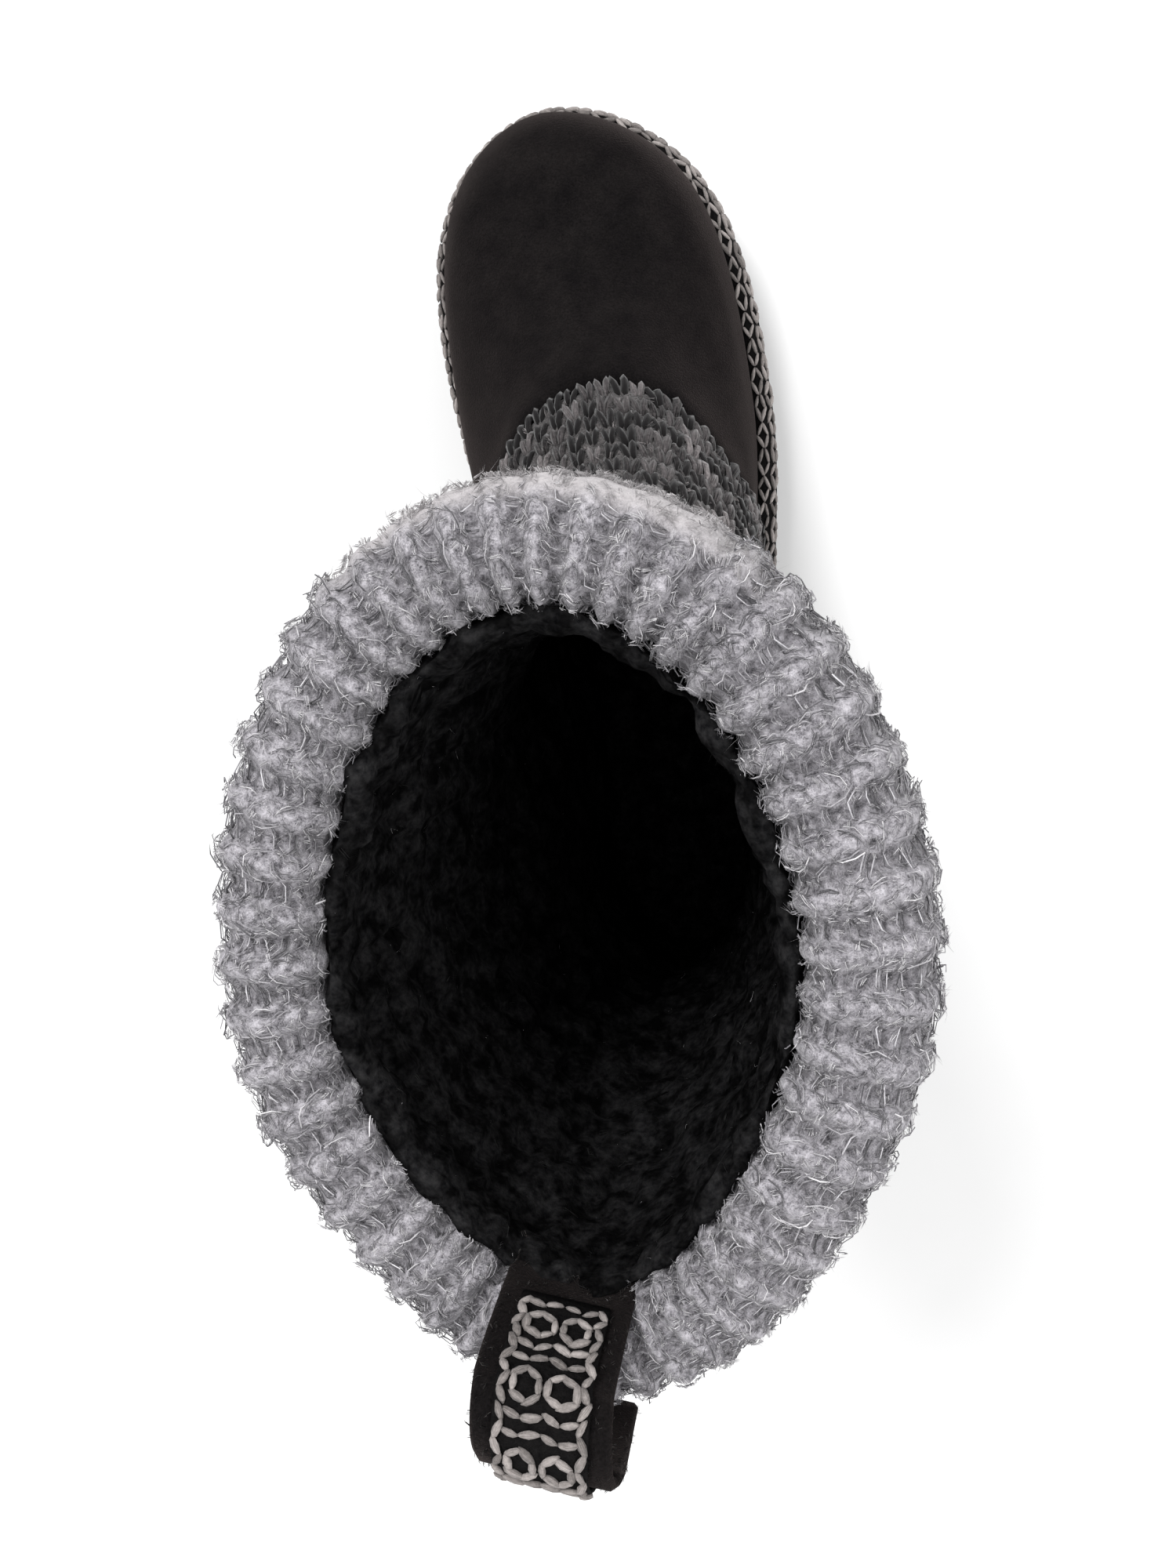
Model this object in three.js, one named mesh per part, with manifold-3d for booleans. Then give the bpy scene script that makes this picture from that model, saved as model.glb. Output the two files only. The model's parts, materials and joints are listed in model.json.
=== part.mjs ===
// A pull-on mukluk boot for the right foot: a suede foot on a rubber sole, a knitted shaft with a thick
// folded rib-knit cuff, a braided trim round the sole and a pull loop at the back of the collar.
// Millimetres. +Y points to the toe, +X to the little-toe side and +Z up.
import * as THREE from "three";
import { mergeVertices } from "three/addons/utils/BufferGeometryUtils.js";
import Module from "manifold-3d";

const wasm = await Module();
wasm.setup();

// Sizes of the foot and the leg, measured on the outside of the upper
const FOOT_LENGTH = 253; // along the feather line, where the upper meets the sole
const BALL_WIDTH = 87.5; // across the ball, at its widest
const INSTEP_HEIGHT = 60; // from the feather line to the top of the vamp
const SHAFT_RISE = 220; // from the feather line to the top edge of the knitted shaft
const COLLAR_DEPTH = 153; // of the shaft's top edge, front to back
const COLLAR_WIDTH = 109; // of the shaft's top edge, side to side
const SHAFT_LEAN = 8; // how far the soft shaft's top hangs over to the inner side of the foot
const SHAFT_SETBACK = 8; // how far its top hangs back

// Walls and the clearance between pieces that touch
const SUEDE_WALL = 2.4;
const KNIT_WALL = 5;
const KNIT_PROUD = 0.8; // the knit stands this far outside the suede's face
const SEAM_LAP = 8; // of the shaft's edge behind the suede
const SEAM_STEP = 0.9; // between the suede's edge and the knit above it
const GAP = 0.3;

// Sole
const SOLE_THICKNESS = 16; // from the floor to the platform that carries the upper
const LEDGE_HEIGHT = 11; // from the floor to the ledge that carries the trim
const TOE_SPRING = 9;
const ARCH_LIFT = 3;
const TREAD_DEPTH = 2.5;
const GROOVE_WIDTH = 4;
const GROOVE_PITCH = 14;
const TREAD_RIM = 6; // uncut border round the tread
const SIDE_RIB_DEPTH = 1.2;
const SOLE_EDGE_ROUND = 2; // of the underside's edge
const SOLE_EDGE_RISE = 1.2;
const SIDE_RIB_ROWS = [0.42, 0.5, 0.62, 0.7]; // shares of the ledge's height
const GROOVE_POINT = 0.35; // of each chevron, in groove pitches
const SMOOTH_WAIST = [0.3, 0.5]; // shares of the foot's length without grooves
const INSOLE_THICKNESS = 7;
const INSOLE_EDGE = 1;

// Braided trim
const TRIM_WIDTH = 8;
const TRIM_TOP = 26; // from the floor
const TRIM_OVERHANG = 0.8; // of the trim past the sole's side
const TRIM_CORNER = 0.6;
const TRIM_SHOULDER = 1.3; // how far its outer face has turned in below its top
const TRIM_CREST = 0.45; // place of its highest line, as a share of the way out
const FIRST_SECTION = 0.3; // height of the first section above the feather line, in instep heights

// Cuff
const CUFF_DROP = 62; // of its lower edge below the shaft's top edge
const CUFF_THICKNESS = 10; // of the folded knit outside the shaft
const CUFF_RISE = 8; // of its crest above the shaft's top edge
const CUFF_TUCK = 14; // of its inner leg inside the shaft
const CUFF_INNER_WALL = 2.6;
const CUFF_BELLY = 1; // how far its outer face swells between its lower edge and its top
const CUFF_FULLNESS = 0.3; // by how much thicker it is on the little-toe side, and thinner opposite
const CUFF_ROWS = [CUFF_DROP, CUFF_DROP * 0.55, CUFF_TUCK, 0]; // below the top edge
const RIB_COUNT = 48;
const RIB_DEPTH = 1.2;

// Pull loop
const LOOP_WIDTH = 25;
const LOOP_STRAP = 2.2;
const LOOP_HEIGHT = 26.5; // of its top above the cuff's crest
const LOOP_TUCK = 16; // of its legs below the cuff's crest
const LOOP_TOP_RADIUS = 8;
const LOOP_TURN = 348; // its place round the collar, just to the inner side of the middle of the back
const LOOP_SKEW = 5.4; // of its rear leg, to the outer side
const RIBBON_WIDTH = 17;
const RIBBON_THICKNESS = 1.2;

const AROUND = 60; // steps round each section
const CUFF_AROUND = 2 * RIB_COUNT;

// Sections of the upper from the feather line to the top edge, in hundredths of the sizes that they follow.
// leg: 0 where a section follows the foot's sizes and 100 where it follows the shaft's.
// mid and span: its middle, of the foot's length, and its own length. back and front: heights of its ends.
// toe: sideways place of its front end. lean: its share of the shaft's lean and setback.
// lat and med: half widths on the little-toe and big-toe side, at heel, waist, ball and toe.
const SECTION_COLUMNS = [
  ..."leg mid span back front toe lean".split(" "),
  ..."latHeel latWaist latBall latToe medHeel medWaist medBall medToe".split(" "),
];
const SECTION_TABLE = [
  [0, 50, 100, 0, 0, -11.5, 0, 34.4, 38.8, 50, 41.2, 33.3, 27.5, 44, 37.6],
  [0, 50, 102.3, 30, 30, -11.5, 0, 37.2, 41.5, 52.8, 43.9, 36.1, 30.8, 46.8, 39.4],
  [0, 48.5, 100, 50, 55, -11, 0, 37.8, 41.5, 51.1, 40.5, 36.7, 32.8, 46.3, 36.4],
  [0, 45.7, 94, 63, 70, -10, 0, 37.8, 40.7, 48.8, 35.2, 36.7, 33.7, 44.7, 33.2],
  [0, 41.7, 85, 80, 85, -8, 0, 37.8, 39.9, 45.6, 29.8, 36.7, 34.7, 42.2, 29.6],
  [15, 37.9, 80.5, 71.9, 74.3, -5, 0, 37.2, 39.4, 42.1, 26.3, 36.1, 36.1, 40, 26.3],
  [35, 33.8, 77.5, 63.7, 67.2, -3, 5, 33.3, 40.3, 40.6, 25.6, 32.7, 38.6, 39.5, 25.6],
  [60, 29.8, 76.2, 58.6, 62.5, 0, 14, 30.9, 40.7, 38.9, 24.6, 30.9, 39.6, 38.4, 24.6],
  [85, 26.7, 80.7, 56.1, 62.3, 2, 28, 30, 41.2, 38.4, 24.2, 30, 41.2, 38.4, 24.2],
  [100, 25.2, 87.5, 61.1, 67.6, 3.5, 48, 30.2, 42.6, 39.6, 24.8, 29.8, 42.6, 39.6, 24.8],
  [100, 24.4, 91.2, 75, 80.6, 5, 70, 31.2, 45.6, 42.5, 26.2, 30.8, 45.6, 42.5, 26.2],
  [100, 24.2, 95.9, 88.9, 91.7, 6.2, 88, 31.8, 48.4, 45.2, 27.6, 31, 48.4, 45.2, 27.6],
  [100, 24.2, 100, 100, 100, 7, 100, 32.2, 50, 46.8, 28.2, 31.2, 50, 46.8, 28.2],
];
const LAST_SECTION = SECTION_TABLE.length - 1;
const WIDTH_COLUMNS = SECTION_COLUMNS.slice(-8);
// The half widths stand at these turns round a section, in degrees from the middle of the back.
const WIDTH_TURNS = [0, 45, 80, 112, 145, 180, 215, 248, 280, 315, 360];

// Height of the seam between suede and knit, in sections above the feather line, on the little-toe
// side and on the big-toe side, by turn from the middle of the back.
const SEAM_TURNS = [0, 20, 40, 60, 80, 93, 106, 120, 138, 160, 180];
const SEAM_LAT = [4.1, 3.7, 2.4, 1.4, 1.3, 1.8, 3.4, 4.6, 5.2, 5.53, 5.7];
const SEAM_MED = [4.1, 3.7, 2.4, 1.4, 1.3, 1.8, 3.3, 4.5, 5.4, 5.67, 5.7];

const RADIANS = Math.PI / 180;
const UP = new THREE.Vector3(0, 0, 1);

function mix(a, b, share) {
  return a + (b - a) * share;
}

function smooth(x) {
  const t = Math.min(1, Math.max(0, x));
  return t * t * (3 - 2 * t);
}

// A smooth curve through values at rising places; slopes gives the slope at each place.
function hermite(places, values, slopes, x) {
  let i = 0;
  while (i < places.length - 2 && x > places[i + 1]) i += 1;
  const run = places[i + 1] - places[i];
  const t = (x - places[i]) / run;
  const t2 = t * t;
  const t3 = t2 * t;
  return (
    values[i] * (2 * t3 - 3 * t2 + 1) +
    slopes[i] * run * (t3 - 2 * t2 + t) +
    values[i + 1] * (3 * t2 - 2 * t3) +
    slopes[i + 1] * run * (t3 - t2)
  );
}

// Slopes of a curve that closes on itself: its last place is its first one again.
function closedSlopes(places, values) {
  const turn = places.at(-1) - places[0];
  return places.map((place, i) => {
    const before = i > 0 ? i - 1 : places.length - 2;
    const after = i < places.length - 1 ? i + 1 : 1;
    const run = (places[after] - places[before] + turn) % turn;
    return (values[after] - values[before]) / run;
  });
}

function openSlopes(places, values) {
  return places.map((place, i) => {
    const before = Math.max(0, i - 1);
    const after = Math.min(places.length - 1, i + 1);
    return (values[after] - values[before]) / (places[after] - places[before]);
  });
}

// One section's lengths in millimetres, from its row of shares.
function sectionLengths(row) {
  const share = Object.fromEntries(SECTION_COLUMNS.map((name, column) => [name, row[column] / 100]));
  const wide = mix(BALL_WIDTH, COLLAR_WIDTH, share.leg);
  const tall = mix(INSTEP_HEIGHT, SHAFT_RISE, share.leg);
  const lengths = {
    mid: share.mid * FOOT_LENGTH - share.lean * SHAFT_SETBACK,
    span: share.span * mix(FOOT_LENGTH, COLLAR_DEPTH, share.leg),
    back: share.back * tall,
    front: share.front * tall,
    toe: share.toe * BALL_WIDTH,
    lean: share.lean * SHAFT_LEAN,
    foot: 1 - share.leg,
  };
  for (const name of WIDTH_COLUMNS) lengths[name] = share[name] * wide;
  return lengths;
}

const SECTIONS = SECTION_TABLE.map(sectionLengths);
const SECTION_PLACES = SECTIONS.map((section, i) => i);
const SECTION_CURVES = Object.keys(SECTIONS[0]).map((name) => {
  const values = SECTIONS.map((section) => section[name]);
  return { name, values, slopes: openSlopes(SECTION_PLACES, values) };
});

// The section at a height counted in sections.
function sectionAt(height) {
  const section = {};
  for (const { name, values, slopes } of SECTION_CURVES) {
    section[name] = hermite(SECTION_PLACES, values, slopes, height);
  }
  return section;
}

function toeSpring(y) {
  const start = 0.66 * FOOT_LENGTH;
  const share = Math.max(0, (y - start) / (FOOT_LENGTH + TRIM_WIDTH - start));
  return TOE_SPRING * share * share;
}

// A point of the upper's outer face: turn in degrees round the section, height in sections.
function facePoint(turn, height) {
  const s = sectionAt(height);
  const widths = [
    0, s.latHeel, s.latWaist, s.latBall, s.latToe,
    0, -s.medToe, -s.medBall, -s.medWaist, -s.medHeel, 0,
  ];
  const across = hermite(WIDTH_TURNS, widths, closedSlopes(WIDTH_TURNS, widths), turn);
  const along = (1 - Math.cos(turn * RADIANS)) / 2;
  const y = s.mid + s.span * (along - 0.5);
  return new THREE.Vector3(
    across + s.toe * along - s.lean,
    y,
    SOLE_THICKNESS + mix(s.back, s.front, along) + toeSpring(y) * s.foot,
  );
}

// The outward normal of that face. It is level at the feather line and at the top edge.
function faceNormal(turn, height) {
  if (height <= 0 || height >= LAST_SECTION) return levelNormal(turn, height);
  const side = 0.5;
  const step = 0.02;
  const round = facePoint((turn + side) % 360, height).sub(facePoint((turn - side + 360) % 360, height));
  const rise = facePoint(turn, height + step).sub(facePoint(turn, height - step));
  return round.cross(rise).normalize();
}

// A point at a distance outside the upper's face, or inside it where the distance is negative.
function shellPoint(turn, height, distance) {
  return facePoint(turn, height).addScaledVector(faceNormal(turn, height), distance);
}

// The level outward direction at the feather line or at the top edge.
function levelNormal(turn, height) {
  const ahead = facePoint((turn + 0.5) % 360, height);
  const round = ahead.sub(facePoint((turn + 359.5) % 360, height));
  return round.cross(UP).normalize();
}

function seamHeight(turn) {
  const heights = turn > 180 ? SEAM_MED : SEAM_LAT;
  const fold = turn > 180 ? 360 - turn : turn;
  return hermite(SEAM_TURNS, heights, openSlopes(SEAM_TURNS, heights), fold);
}

// The height in sections of the face's point that lies the given way below another one.
function heightBelow(turn, top, distance) {
  const start = facePoint(turn, top);
  let low = 0;
  let high = top;
  for (let i = 0; i < 24; i += 1) {
    const middle = (low + high) / 2;
    if (facePoint(turn, middle).distanceTo(start) > distance) low = middle;
    else high = middle;
  }
  return high;
}

// Where the knit starts, in sections: a clear step above the seam, square to the seam's own line.
// level is 1 where the seam runs level and near 0 where it climbs steeply.
function knitStart(turn) {
  const seam = seamHeight(turn);
  const [before, after] = [(turn + 358) % 360, (turn + 2) % 360];
  const along = facePoint(after, seamHeight(after)).sub(facePoint(before, seamHeight(before))).normalize();
  const up = facePoint(turn, seam + 0.1).sub(facePoint(turn, seam - 0.1));
  const climb = up.length() / 0.2;
  const level = along.cross(up.normalize()).length();
  return { start: seam + SEAM_STEP / (climb * level), level };
}

// Heights, in sections, of the rows under the cuff, from the cuff's lower edge to the top edge.
function collarHeights(turn) {
  return CUFF_ROWS.map((drop) => (drop > 0 ? heightBelow(turn, LAST_SECTION, drop) : LAST_SECTION));
}

function turnsRound(count) {
  return Array.from({ length: count }, (_, i) => (360 * i) / count);
}

function geometryOf(points, triangles) {
  const geometry = new THREE.BufferGeometry();
  const numbers = points.flatMap((point) => point.toArray());
  geometry.setAttribute("position", new THREE.Float32BufferAttribute(numbers, 3));
  geometry.setIndex(triangles);
  return geometry;
}

// Quads between neighbouring loops of points; each loop closes on itself.
function addBands(triangles, loops, size, closed) {
  const bands = closed ? loops : loops - 1;
  for (let i = 0; i < bands; i += 1) {
    const next = (i + 1) % loops;
    for (let j = 0; j < size; j += 1) {
      const k = (j + 1) % size;
      const [a, b, c, d] = [i * size + j, i * size + k, next * size + k, next * size + j];
      triangles.push(a, b, c, a, c, d);
    }
  }
}

// A ring-shaped solid: one closed profile for each turn, drawn upwards on its outer side.
function ringSolid(profiles) {
  const triangles = [];
  addBands(triangles, profiles.length, profiles[0].length, true);
  return geometryOf(profiles.flat(), triangles.reverse());
}

// A plate from loops stacked upwards. Each end is closed by strips across.
function stackSolid(loops) {
  const size = loops[0].length;
  const triangles = [];
  addBands(triangles, loops.length, size, false);
  const top = (loops.length - 1) * size;
  for (let i = 0; i < size / 2; i += 1) {
    const [a, b] = [i, i + 1];
    const [c, d] = [(size - i - 1) % size, (size - i) % size];
    if (b !== c) triangles.push(a, c, b, top + a, top + b, top + c);
    if (a !== d) triangles.push(a, d, c, top + a, top + c, top + d);
  }
  return geometryOf(loops.flat(), triangles);
}

// A strap of rectangular section along a path: each station has a point, and a normal of its outer face.
function strapSolid(stations, width, thickness) {
  const { along } = loopDirections();
  const sections = stations.map(({ point, normal }) =>
    [
      [-0.5, -0.5],
      [0.5, -0.5],
      [0.5, 0.5],
      [-0.5, 0.5],
    ].map(([across, out]) =>
      point.clone().addScaledVector(normal, out * thickness).addScaledVector(along, across * width),
    ),
  );
  const triangles = [];
  addBands(triangles, sections.length, 4, false);
  const end = 4 * (sections.length - 1);
  triangles.push(0, 2, 1, 0, 3, 2, end, end + 1, end + 2, end, end + 2, end + 3);
  return geometryOf(sections.flat(), triangles);
}

function solidOf(geometry) {
  const bare = geometry.clone();
  for (const name of Object.keys(bare.attributes)) {
    if (name !== "position") bare.deleteAttribute(name);
  }
  const merged = mergeVertices(bare, 1e-4);
  return new wasm.Manifold(
    new wasm.Mesh({
      numProp: 3,
      vertProperties: merged.attributes.position.array,
      triVerts: new Uint32Array(merged.index.array),
    }),
  );
}

function geometryFrom(solid) {
  const mesh = solid.getMesh();
  const geometry = new THREE.BufferGeometry();
  geometry.setAttribute("position", new THREE.Float32BufferAttribute(mesh.vertProperties, 3));
  geometry.setIndex(Array.from(mesh.triVerts));
  return geometry;
}

// A level loop of points at a distance outside the feather line.
function soleLoop(distance, heightOf) {
  return turnsRound(AROUND).map((turn) => {
    const point = facePoint(turn, 0).addScaledVector(levelNormal(turn, 0), distance);
    point.z = heightOf(point.y);
    return point;
  });
}

// Height of the sole's underside: flat under heel and ball, lifted under the arch and at the toe.
function undersideHeight(y) {
  const share = y / FOOT_LENGTH;
  const arch = smooth((share - 0.26) / 0.12) * (1 - smooth((share - 0.43) / 0.11));
  return ARCH_LIFT * arch + toeSpring(y);
}

function makeOutsole() {
  const edge = TRIM_WIDTH - TRIM_OVERHANG;
  const floor = undersideHeight;
  const above = (height) => (y) => height + toeSpring(y);
  const seat = -SUEDE_WALL;
  const [lowest, low, high, highest] = SIDE_RIB_ROWS;
  const body = solidOf(
    stackSolid([
      soleLoop(edge - SOLE_EDGE_ROUND, floor),
      soleLoop(edge - SOLE_EDGE_ROUND / 5, (y) => floor(y) + SOLE_EDGE_RISE),
      soleLoop(edge, above(LEDGE_HEIGHT * lowest)),
      soleLoop(edge - SIDE_RIB_DEPTH, above(LEDGE_HEIGHT * low)),
      soleLoop(edge - SIDE_RIB_DEPTH, above(LEDGE_HEIGHT * high)),
      soleLoop(edge, above(LEDGE_HEIGHT * highest)),
      soleLoop(edge, above(LEDGE_HEIGHT)),
      soleLoop(0, above(LEDGE_HEIGHT)),
      soleLoop(0, above(SOLE_THICKNESS)),
      soleLoop(seat, above(SOLE_THICKNESS)),
    ]),
  );
  const treadArea = solidOf(
    stackSolid([
      soleLoop(edge - TREAD_RIM, () => -SOLE_THICKNESS),
      soleLoop(edge - TREAD_RIM, () => SOLE_THICKNESS + TOE_SPRING),
    ]),
  );
  let grooves = null;
  const count = Math.floor(FOOT_LENGTH / GROOVE_PITCH);
  for (let i = 0; i < count; i += 1) {
    const y = GROOVE_PITCH * (i + 0.5);
    const share = y / FOOT_LENGTH;
    if (share > SMOOTH_WAIST[0] && share < SMOOTH_WAIST[1]) continue;
    const groove = grooveSolid(y);
    grooves = grooves ? grooves.add(groove) : groove;
  }
  return geometryFrom(body.subtract(grooves.intersect(treadArea)));
}

// One chevron groove across the tread.
function grooveSolid(y) {
  const point = GROOVE_PITCH * GROOVE_POINT;
  const side = BALL_WIDTH;
  const shape = new THREE.Shape();
  shape.moveTo(-side, y - point);
  shape.lineTo(0, y + point);
  shape.lineTo(side, y - point);
  shape.lineTo(side, y - point + GROOVE_WIDTH);
  shape.lineTo(0, y + point + GROOVE_WIDTH);
  shape.lineTo(-side, y - point + GROOVE_WIDTH);
  shape.closePath();
  const depth = SOLE_THICKNESS;
  const groove = new THREE.ExtrudeGeometry(shape, { depth, bevelEnabled: false });
  groove.translate(0, 0, TREAD_DEPTH + undersideHeight(y) - depth);
  return solidOf(groove);
}

function makeInsole() {
  const inset = -(SUEDE_WALL + GAP);
  const above = (height) => (y) => SOLE_THICKNESS + height + toeSpring(y);
  return stackSolid([
    soleLoop(inset, above(GAP)),
    soleLoop(inset, above(INSOLE_THICKNESS - INSOLE_EDGE)),
    soleLoop(inset - INSOLE_EDGE, above(INSOLE_THICKNESS)),
  ]);
}

// The braided trim: it fills the ledge round the upper's foot, and its outer edge is rounded.
function makeTrim() {
  const bottom = LEDGE_HEIGHT + GAP;
  const round = (TRIM_TOP - bottom) / 2;
  return ringSolid(
    turnsRound(AROUND).map((turn) => {
      const feather = facePoint(turn, 0);
      const out = levelNormal(turn, 0);
      const at = (distance, height) => {
        const point = feather.clone().addScaledVector(out, distance);
        return point.setZ(height + toeSpring(point.y));
      };
      const topSection = (TRIM_TOP - SOLE_THICKNESS) / INSTEP_HEIGHT / FIRST_SECTION;
      const inner = shellPoint(turn, topSection, GAP).sub(feather).dot(out);
      const kneeSection = topSection / 2;
      const knee = shellPoint(turn, kneeSection, GAP).sub(feather).dot(out);
      return [
        at(GAP, bottom),
        at(TRIM_WIDTH - TRIM_CORNER, bottom),
        at(TRIM_WIDTH, bottom + round * 0.5),
        at(TRIM_WIDTH, bottom + round * 1.1),
        at(TRIM_WIDTH - TRIM_SHOULDER, bottom + round * 1.65),
        at(mix(inner, TRIM_WIDTH, TRIM_CREST), TRIM_TOP),
        at(inner, TRIM_TOP - TRIM_CORNER),
        at(knee, mix(SOLE_THICKNESS, TRIM_TOP, 0.5)),
        at(GAP, SOLE_THICKNESS),
      ];
    }),
  );
}

// The suede foot: one wall from the feather line up to the seam.
function makeUpper() {
  const outerSteps = 9;
  const innerSteps = 4;
  return ringSolid(
    turnsRound(AROUND).map((turn) => {
      const top = seamHeight(turn);
      const lap = heightBelow(turn, top, SEAM_LAP);
      const profile = [];
      for (let i = 0; i <= outerSteps; i += 1) {
        profile.push(shellPoint(turn, (top * i) / outerSteps, 0));
      }
      profile.push(shellPoint(turn, top, -SUEDE_WALL), shellPoint(turn, mix(lap, top, 0.5), -SUEDE_WALL));
      for (let i = innerSteps; i >= 0; i -= 1) {
        profile.push(shellPoint(turn, (lap * i) / innerSteps, -SUEDE_WALL));
      }
      for (const end of [profile[0], profile.at(-1)]) {
        end.z = SOLE_THICKNESS + GAP + toeSpring(end.y);
      }
      return profile;
    }),
  );
}

// The knitted shaft: its lower margin lies behind the suede, and above the seam it stands proud of it.
function makeShaft() {
  const outerSteps = 7;
  const innerSteps = 5;
  return ringSolid(
    turnsRound(AROUND).map((turn) => {
      const seam = seamHeight(turn);
      const low = heightBelow(turn, seam, SEAM_LAP);
      const { start, level } = knitStart(turn);
      const behind = -(SUEDE_WALL + GAP * (3 - 2 * level));
      const collar = collarHeights(turn);
      const profile = [shellPoint(turn, low, behind), shellPoint(turn, mix(low, start, 0.5), behind)];
      profile.push(shellPoint(turn, start, behind));
      for (let i = 0; i < outerSteps; i += 1) {
        const proud = i === 0 ? -SUEDE_WALL / 2 : KNIT_PROUD;
        profile.push(shellPoint(turn, mix(start, collar[0], i / outerSteps), proud));
      }
      for (const height of collar) profile.push(shellPoint(turn, height, KNIT_PROUD));
      for (const height of collar.slice().reverse()) profile.push(shellPoint(turn, height, -KNIT_WALL));
      for (let i = innerSteps - 1; i >= 0; i -= 1) {
        profile.push(shellPoint(turn, mix(low, collar[0], i / innerSteps), -KNIT_WALL));
      }
      return profile;
    }),
  );
}

// The folded cuff: a saddle over the shaft's top edge. Each corner has a drop below that edge,
// negative above it, and a distance outside the shaft's face. Ribs run down its outer side.
function cuffProfile(turn, rib) {
  const face = KNIT_PROUD + GAP;
  const inside = -(KNIT_WALL + GAP);
  const outer = face + CUFF_THICKNESS * cuffFullness(turn) + rib;
  const lining = inside - CUFF_INNER_WALL;
  return [
    [CUFF_TUCK, inside],
    [-GAP, inside],
    [-GAP, face],
    ...CUFF_ROWS.slice().reverse().map((drop) => [drop, face]),
    [CUFF_DROP + 1, mix(face, outer, 0.5)],
    [CUFF_DROP * 0.95, outer - 0.8],
    [CUFF_DROP * 0.65, outer + CUFF_BELLY],
    [CUFF_DROP * 0.35, outer + CUFF_BELLY],
    [CUFF_DROP * 0.12, outer],
    [-CUFF_RISE * 0.35, mix(face, outer, 0.78)],
    [-CUFF_RISE * 0.85, mix(face, outer, 0.3)],
    [-CUFF_RISE, mix(inside, face, 0.5)],
    [-CUFF_RISE * 0.7, inside - 1],
    [0, lining],
    [CUFF_TUCK, lining + 0.6],
  ].map(([drop, distance]) => cuffPoint(turn, drop, distance));
}

// The cuff is fuller on the little-toe side.
function cuffFullness(turn) {
  return 1 + CUFF_FULLNESS * Math.sin(turn * RADIANS);
}

function cuffPoint(turn, drop, distance) {
  if (drop > 0) return shellPoint(turn, heightBelow(turn, LAST_SECTION, drop), distance);
  const edge = facePoint(turn, LAST_SECTION);
  return edge.addScaledVector(levelNormal(turn, LAST_SECTION), distance).addScaledVector(UP, -drop);
}

function makeCuff() {
  return ringSolid(
    turnsRound(CUFF_AROUND).map((turn, i) => cuffProfile(turn, i % 2 === 0 ? RIB_DEPTH : -RIB_DEPTH)),
  );
}

// Directions at the pull loop: out of the collar, and along the collar's edge.
function loopDirections() {
  const out = levelNormal(LOOP_TURN, LAST_SECTION);
  return { out, along: UP.clone().cross(out) };
}

// How far out the cuff's face lies where a flat strap clears it: pick is Math.min or Math.max.
function cuffClearance(drop, distance, pick) {
  const { out } = loopDirections();
  const edge = facePoint(LOOP_TURN, LAST_SECTION);
  const turns = [-24, -16, -8, 0, 8, 16, 24].map((turn) => (turn + LOOP_TURN + 360) % 360);
  return pick(...turns.map((turn) => cuffPoint(turn, drop, distance).sub(edge).dot(out)));
}

// Stations along the pull loop, from the foot of its inner leg over its top to the foot of its rear leg.
// Each lies a distance outside the strap's middle line.
function loopStations(distance) {
  const { out, along } = loopDirections();
  const edge = facePoint(LOOP_TURN, LAST_SECTION);
  const clear = GAP + LOOP_STRAP / 2;
  const inside = -(KNIT_WALL + GAP + CUFF_INNER_WALL + clear);
  const outside = KNIT_PROUD + GAP + CUFF_THICKNESS + RIB_DEPTH + CUFF_BELLY + clear;
  const legFoot = LOOP_TUCK - CUFF_RISE;
  const front = cuffClearance(0, inside, Math.min);
  const frontFoot = Math.min(front, cuffClearance(legFoot, inside, Math.min));
  const rear = cuffClearance(0, outside, Math.max);
  const rearFoot = Math.max(rear, cuffClearance(legFoot, outside, Math.max));
  const middle = mix(front, rear, 0.4);
  const top = CUFF_RISE + LOOP_HEIGHT - LOOP_TOP_RADIUS;
  const path = [
    [frontFoot, CUFF_RISE - LOOP_TUCK],
    [front, CUFF_RISE * 0.5],
    [mix(front, middle - LOOP_TOP_RADIUS, 0.35), mix(CUFF_RISE, top, 0.45)],
  ];
  for (let i = 0; i <= 8; i += 1) {
    const angle = (Math.PI * i) / 8;
    path.push([
      middle - LOOP_TOP_RADIUS * Math.cos(angle),
      top + LOOP_TOP_RADIUS * Math.sin(angle),
    ]);
  }
  path.push(
    [mix(rear, middle + LOOP_TOP_RADIUS, 0.35), mix(CUFF_RISE, top, 0.45)],
    [rear, CUFF_RISE * 0.5],
    [rearFoot, CUFF_RISE - LOOP_TUCK],
  );
  return path.map(([reach, height], i) => {
    const before = path[Math.max(0, i - 1)];
    const after = path[Math.min(path.length - 1, i + 1)];
    const run = new THREE.Vector2(after[0] - before[0], after[1] - before[1]).normalize();
    const normal = out.clone().multiplyScalar(-run.y).addScaledVector(UP, run.x);
    const skew = LOOP_SKEW * smooth((i - 2) / (path.length - 4));
    const point = edge.clone().addScaledVector(out, reach).addScaledVector(UP, height);
    return { point: point.addScaledVector(along, skew).addScaledVector(normal, distance), normal };
  });
}

function makePullLoop() {
  return strapSolid(loopStations(0), LOOP_WIDTH, LOOP_STRAP);
}

function makeLoopRibbon() {
  const stations = loopStations(LOOP_STRAP / 2 + GAP + RIBBON_THICKNESS / 2);
  return strapSolid(stations.slice(1, -2), RIBBON_WIDTH, RIBBON_THICKNESS);
}

function material(color, roughness) {
  return new THREE.MeshStandardMaterial({ color, roughness, metalness: 0 });
}

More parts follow.
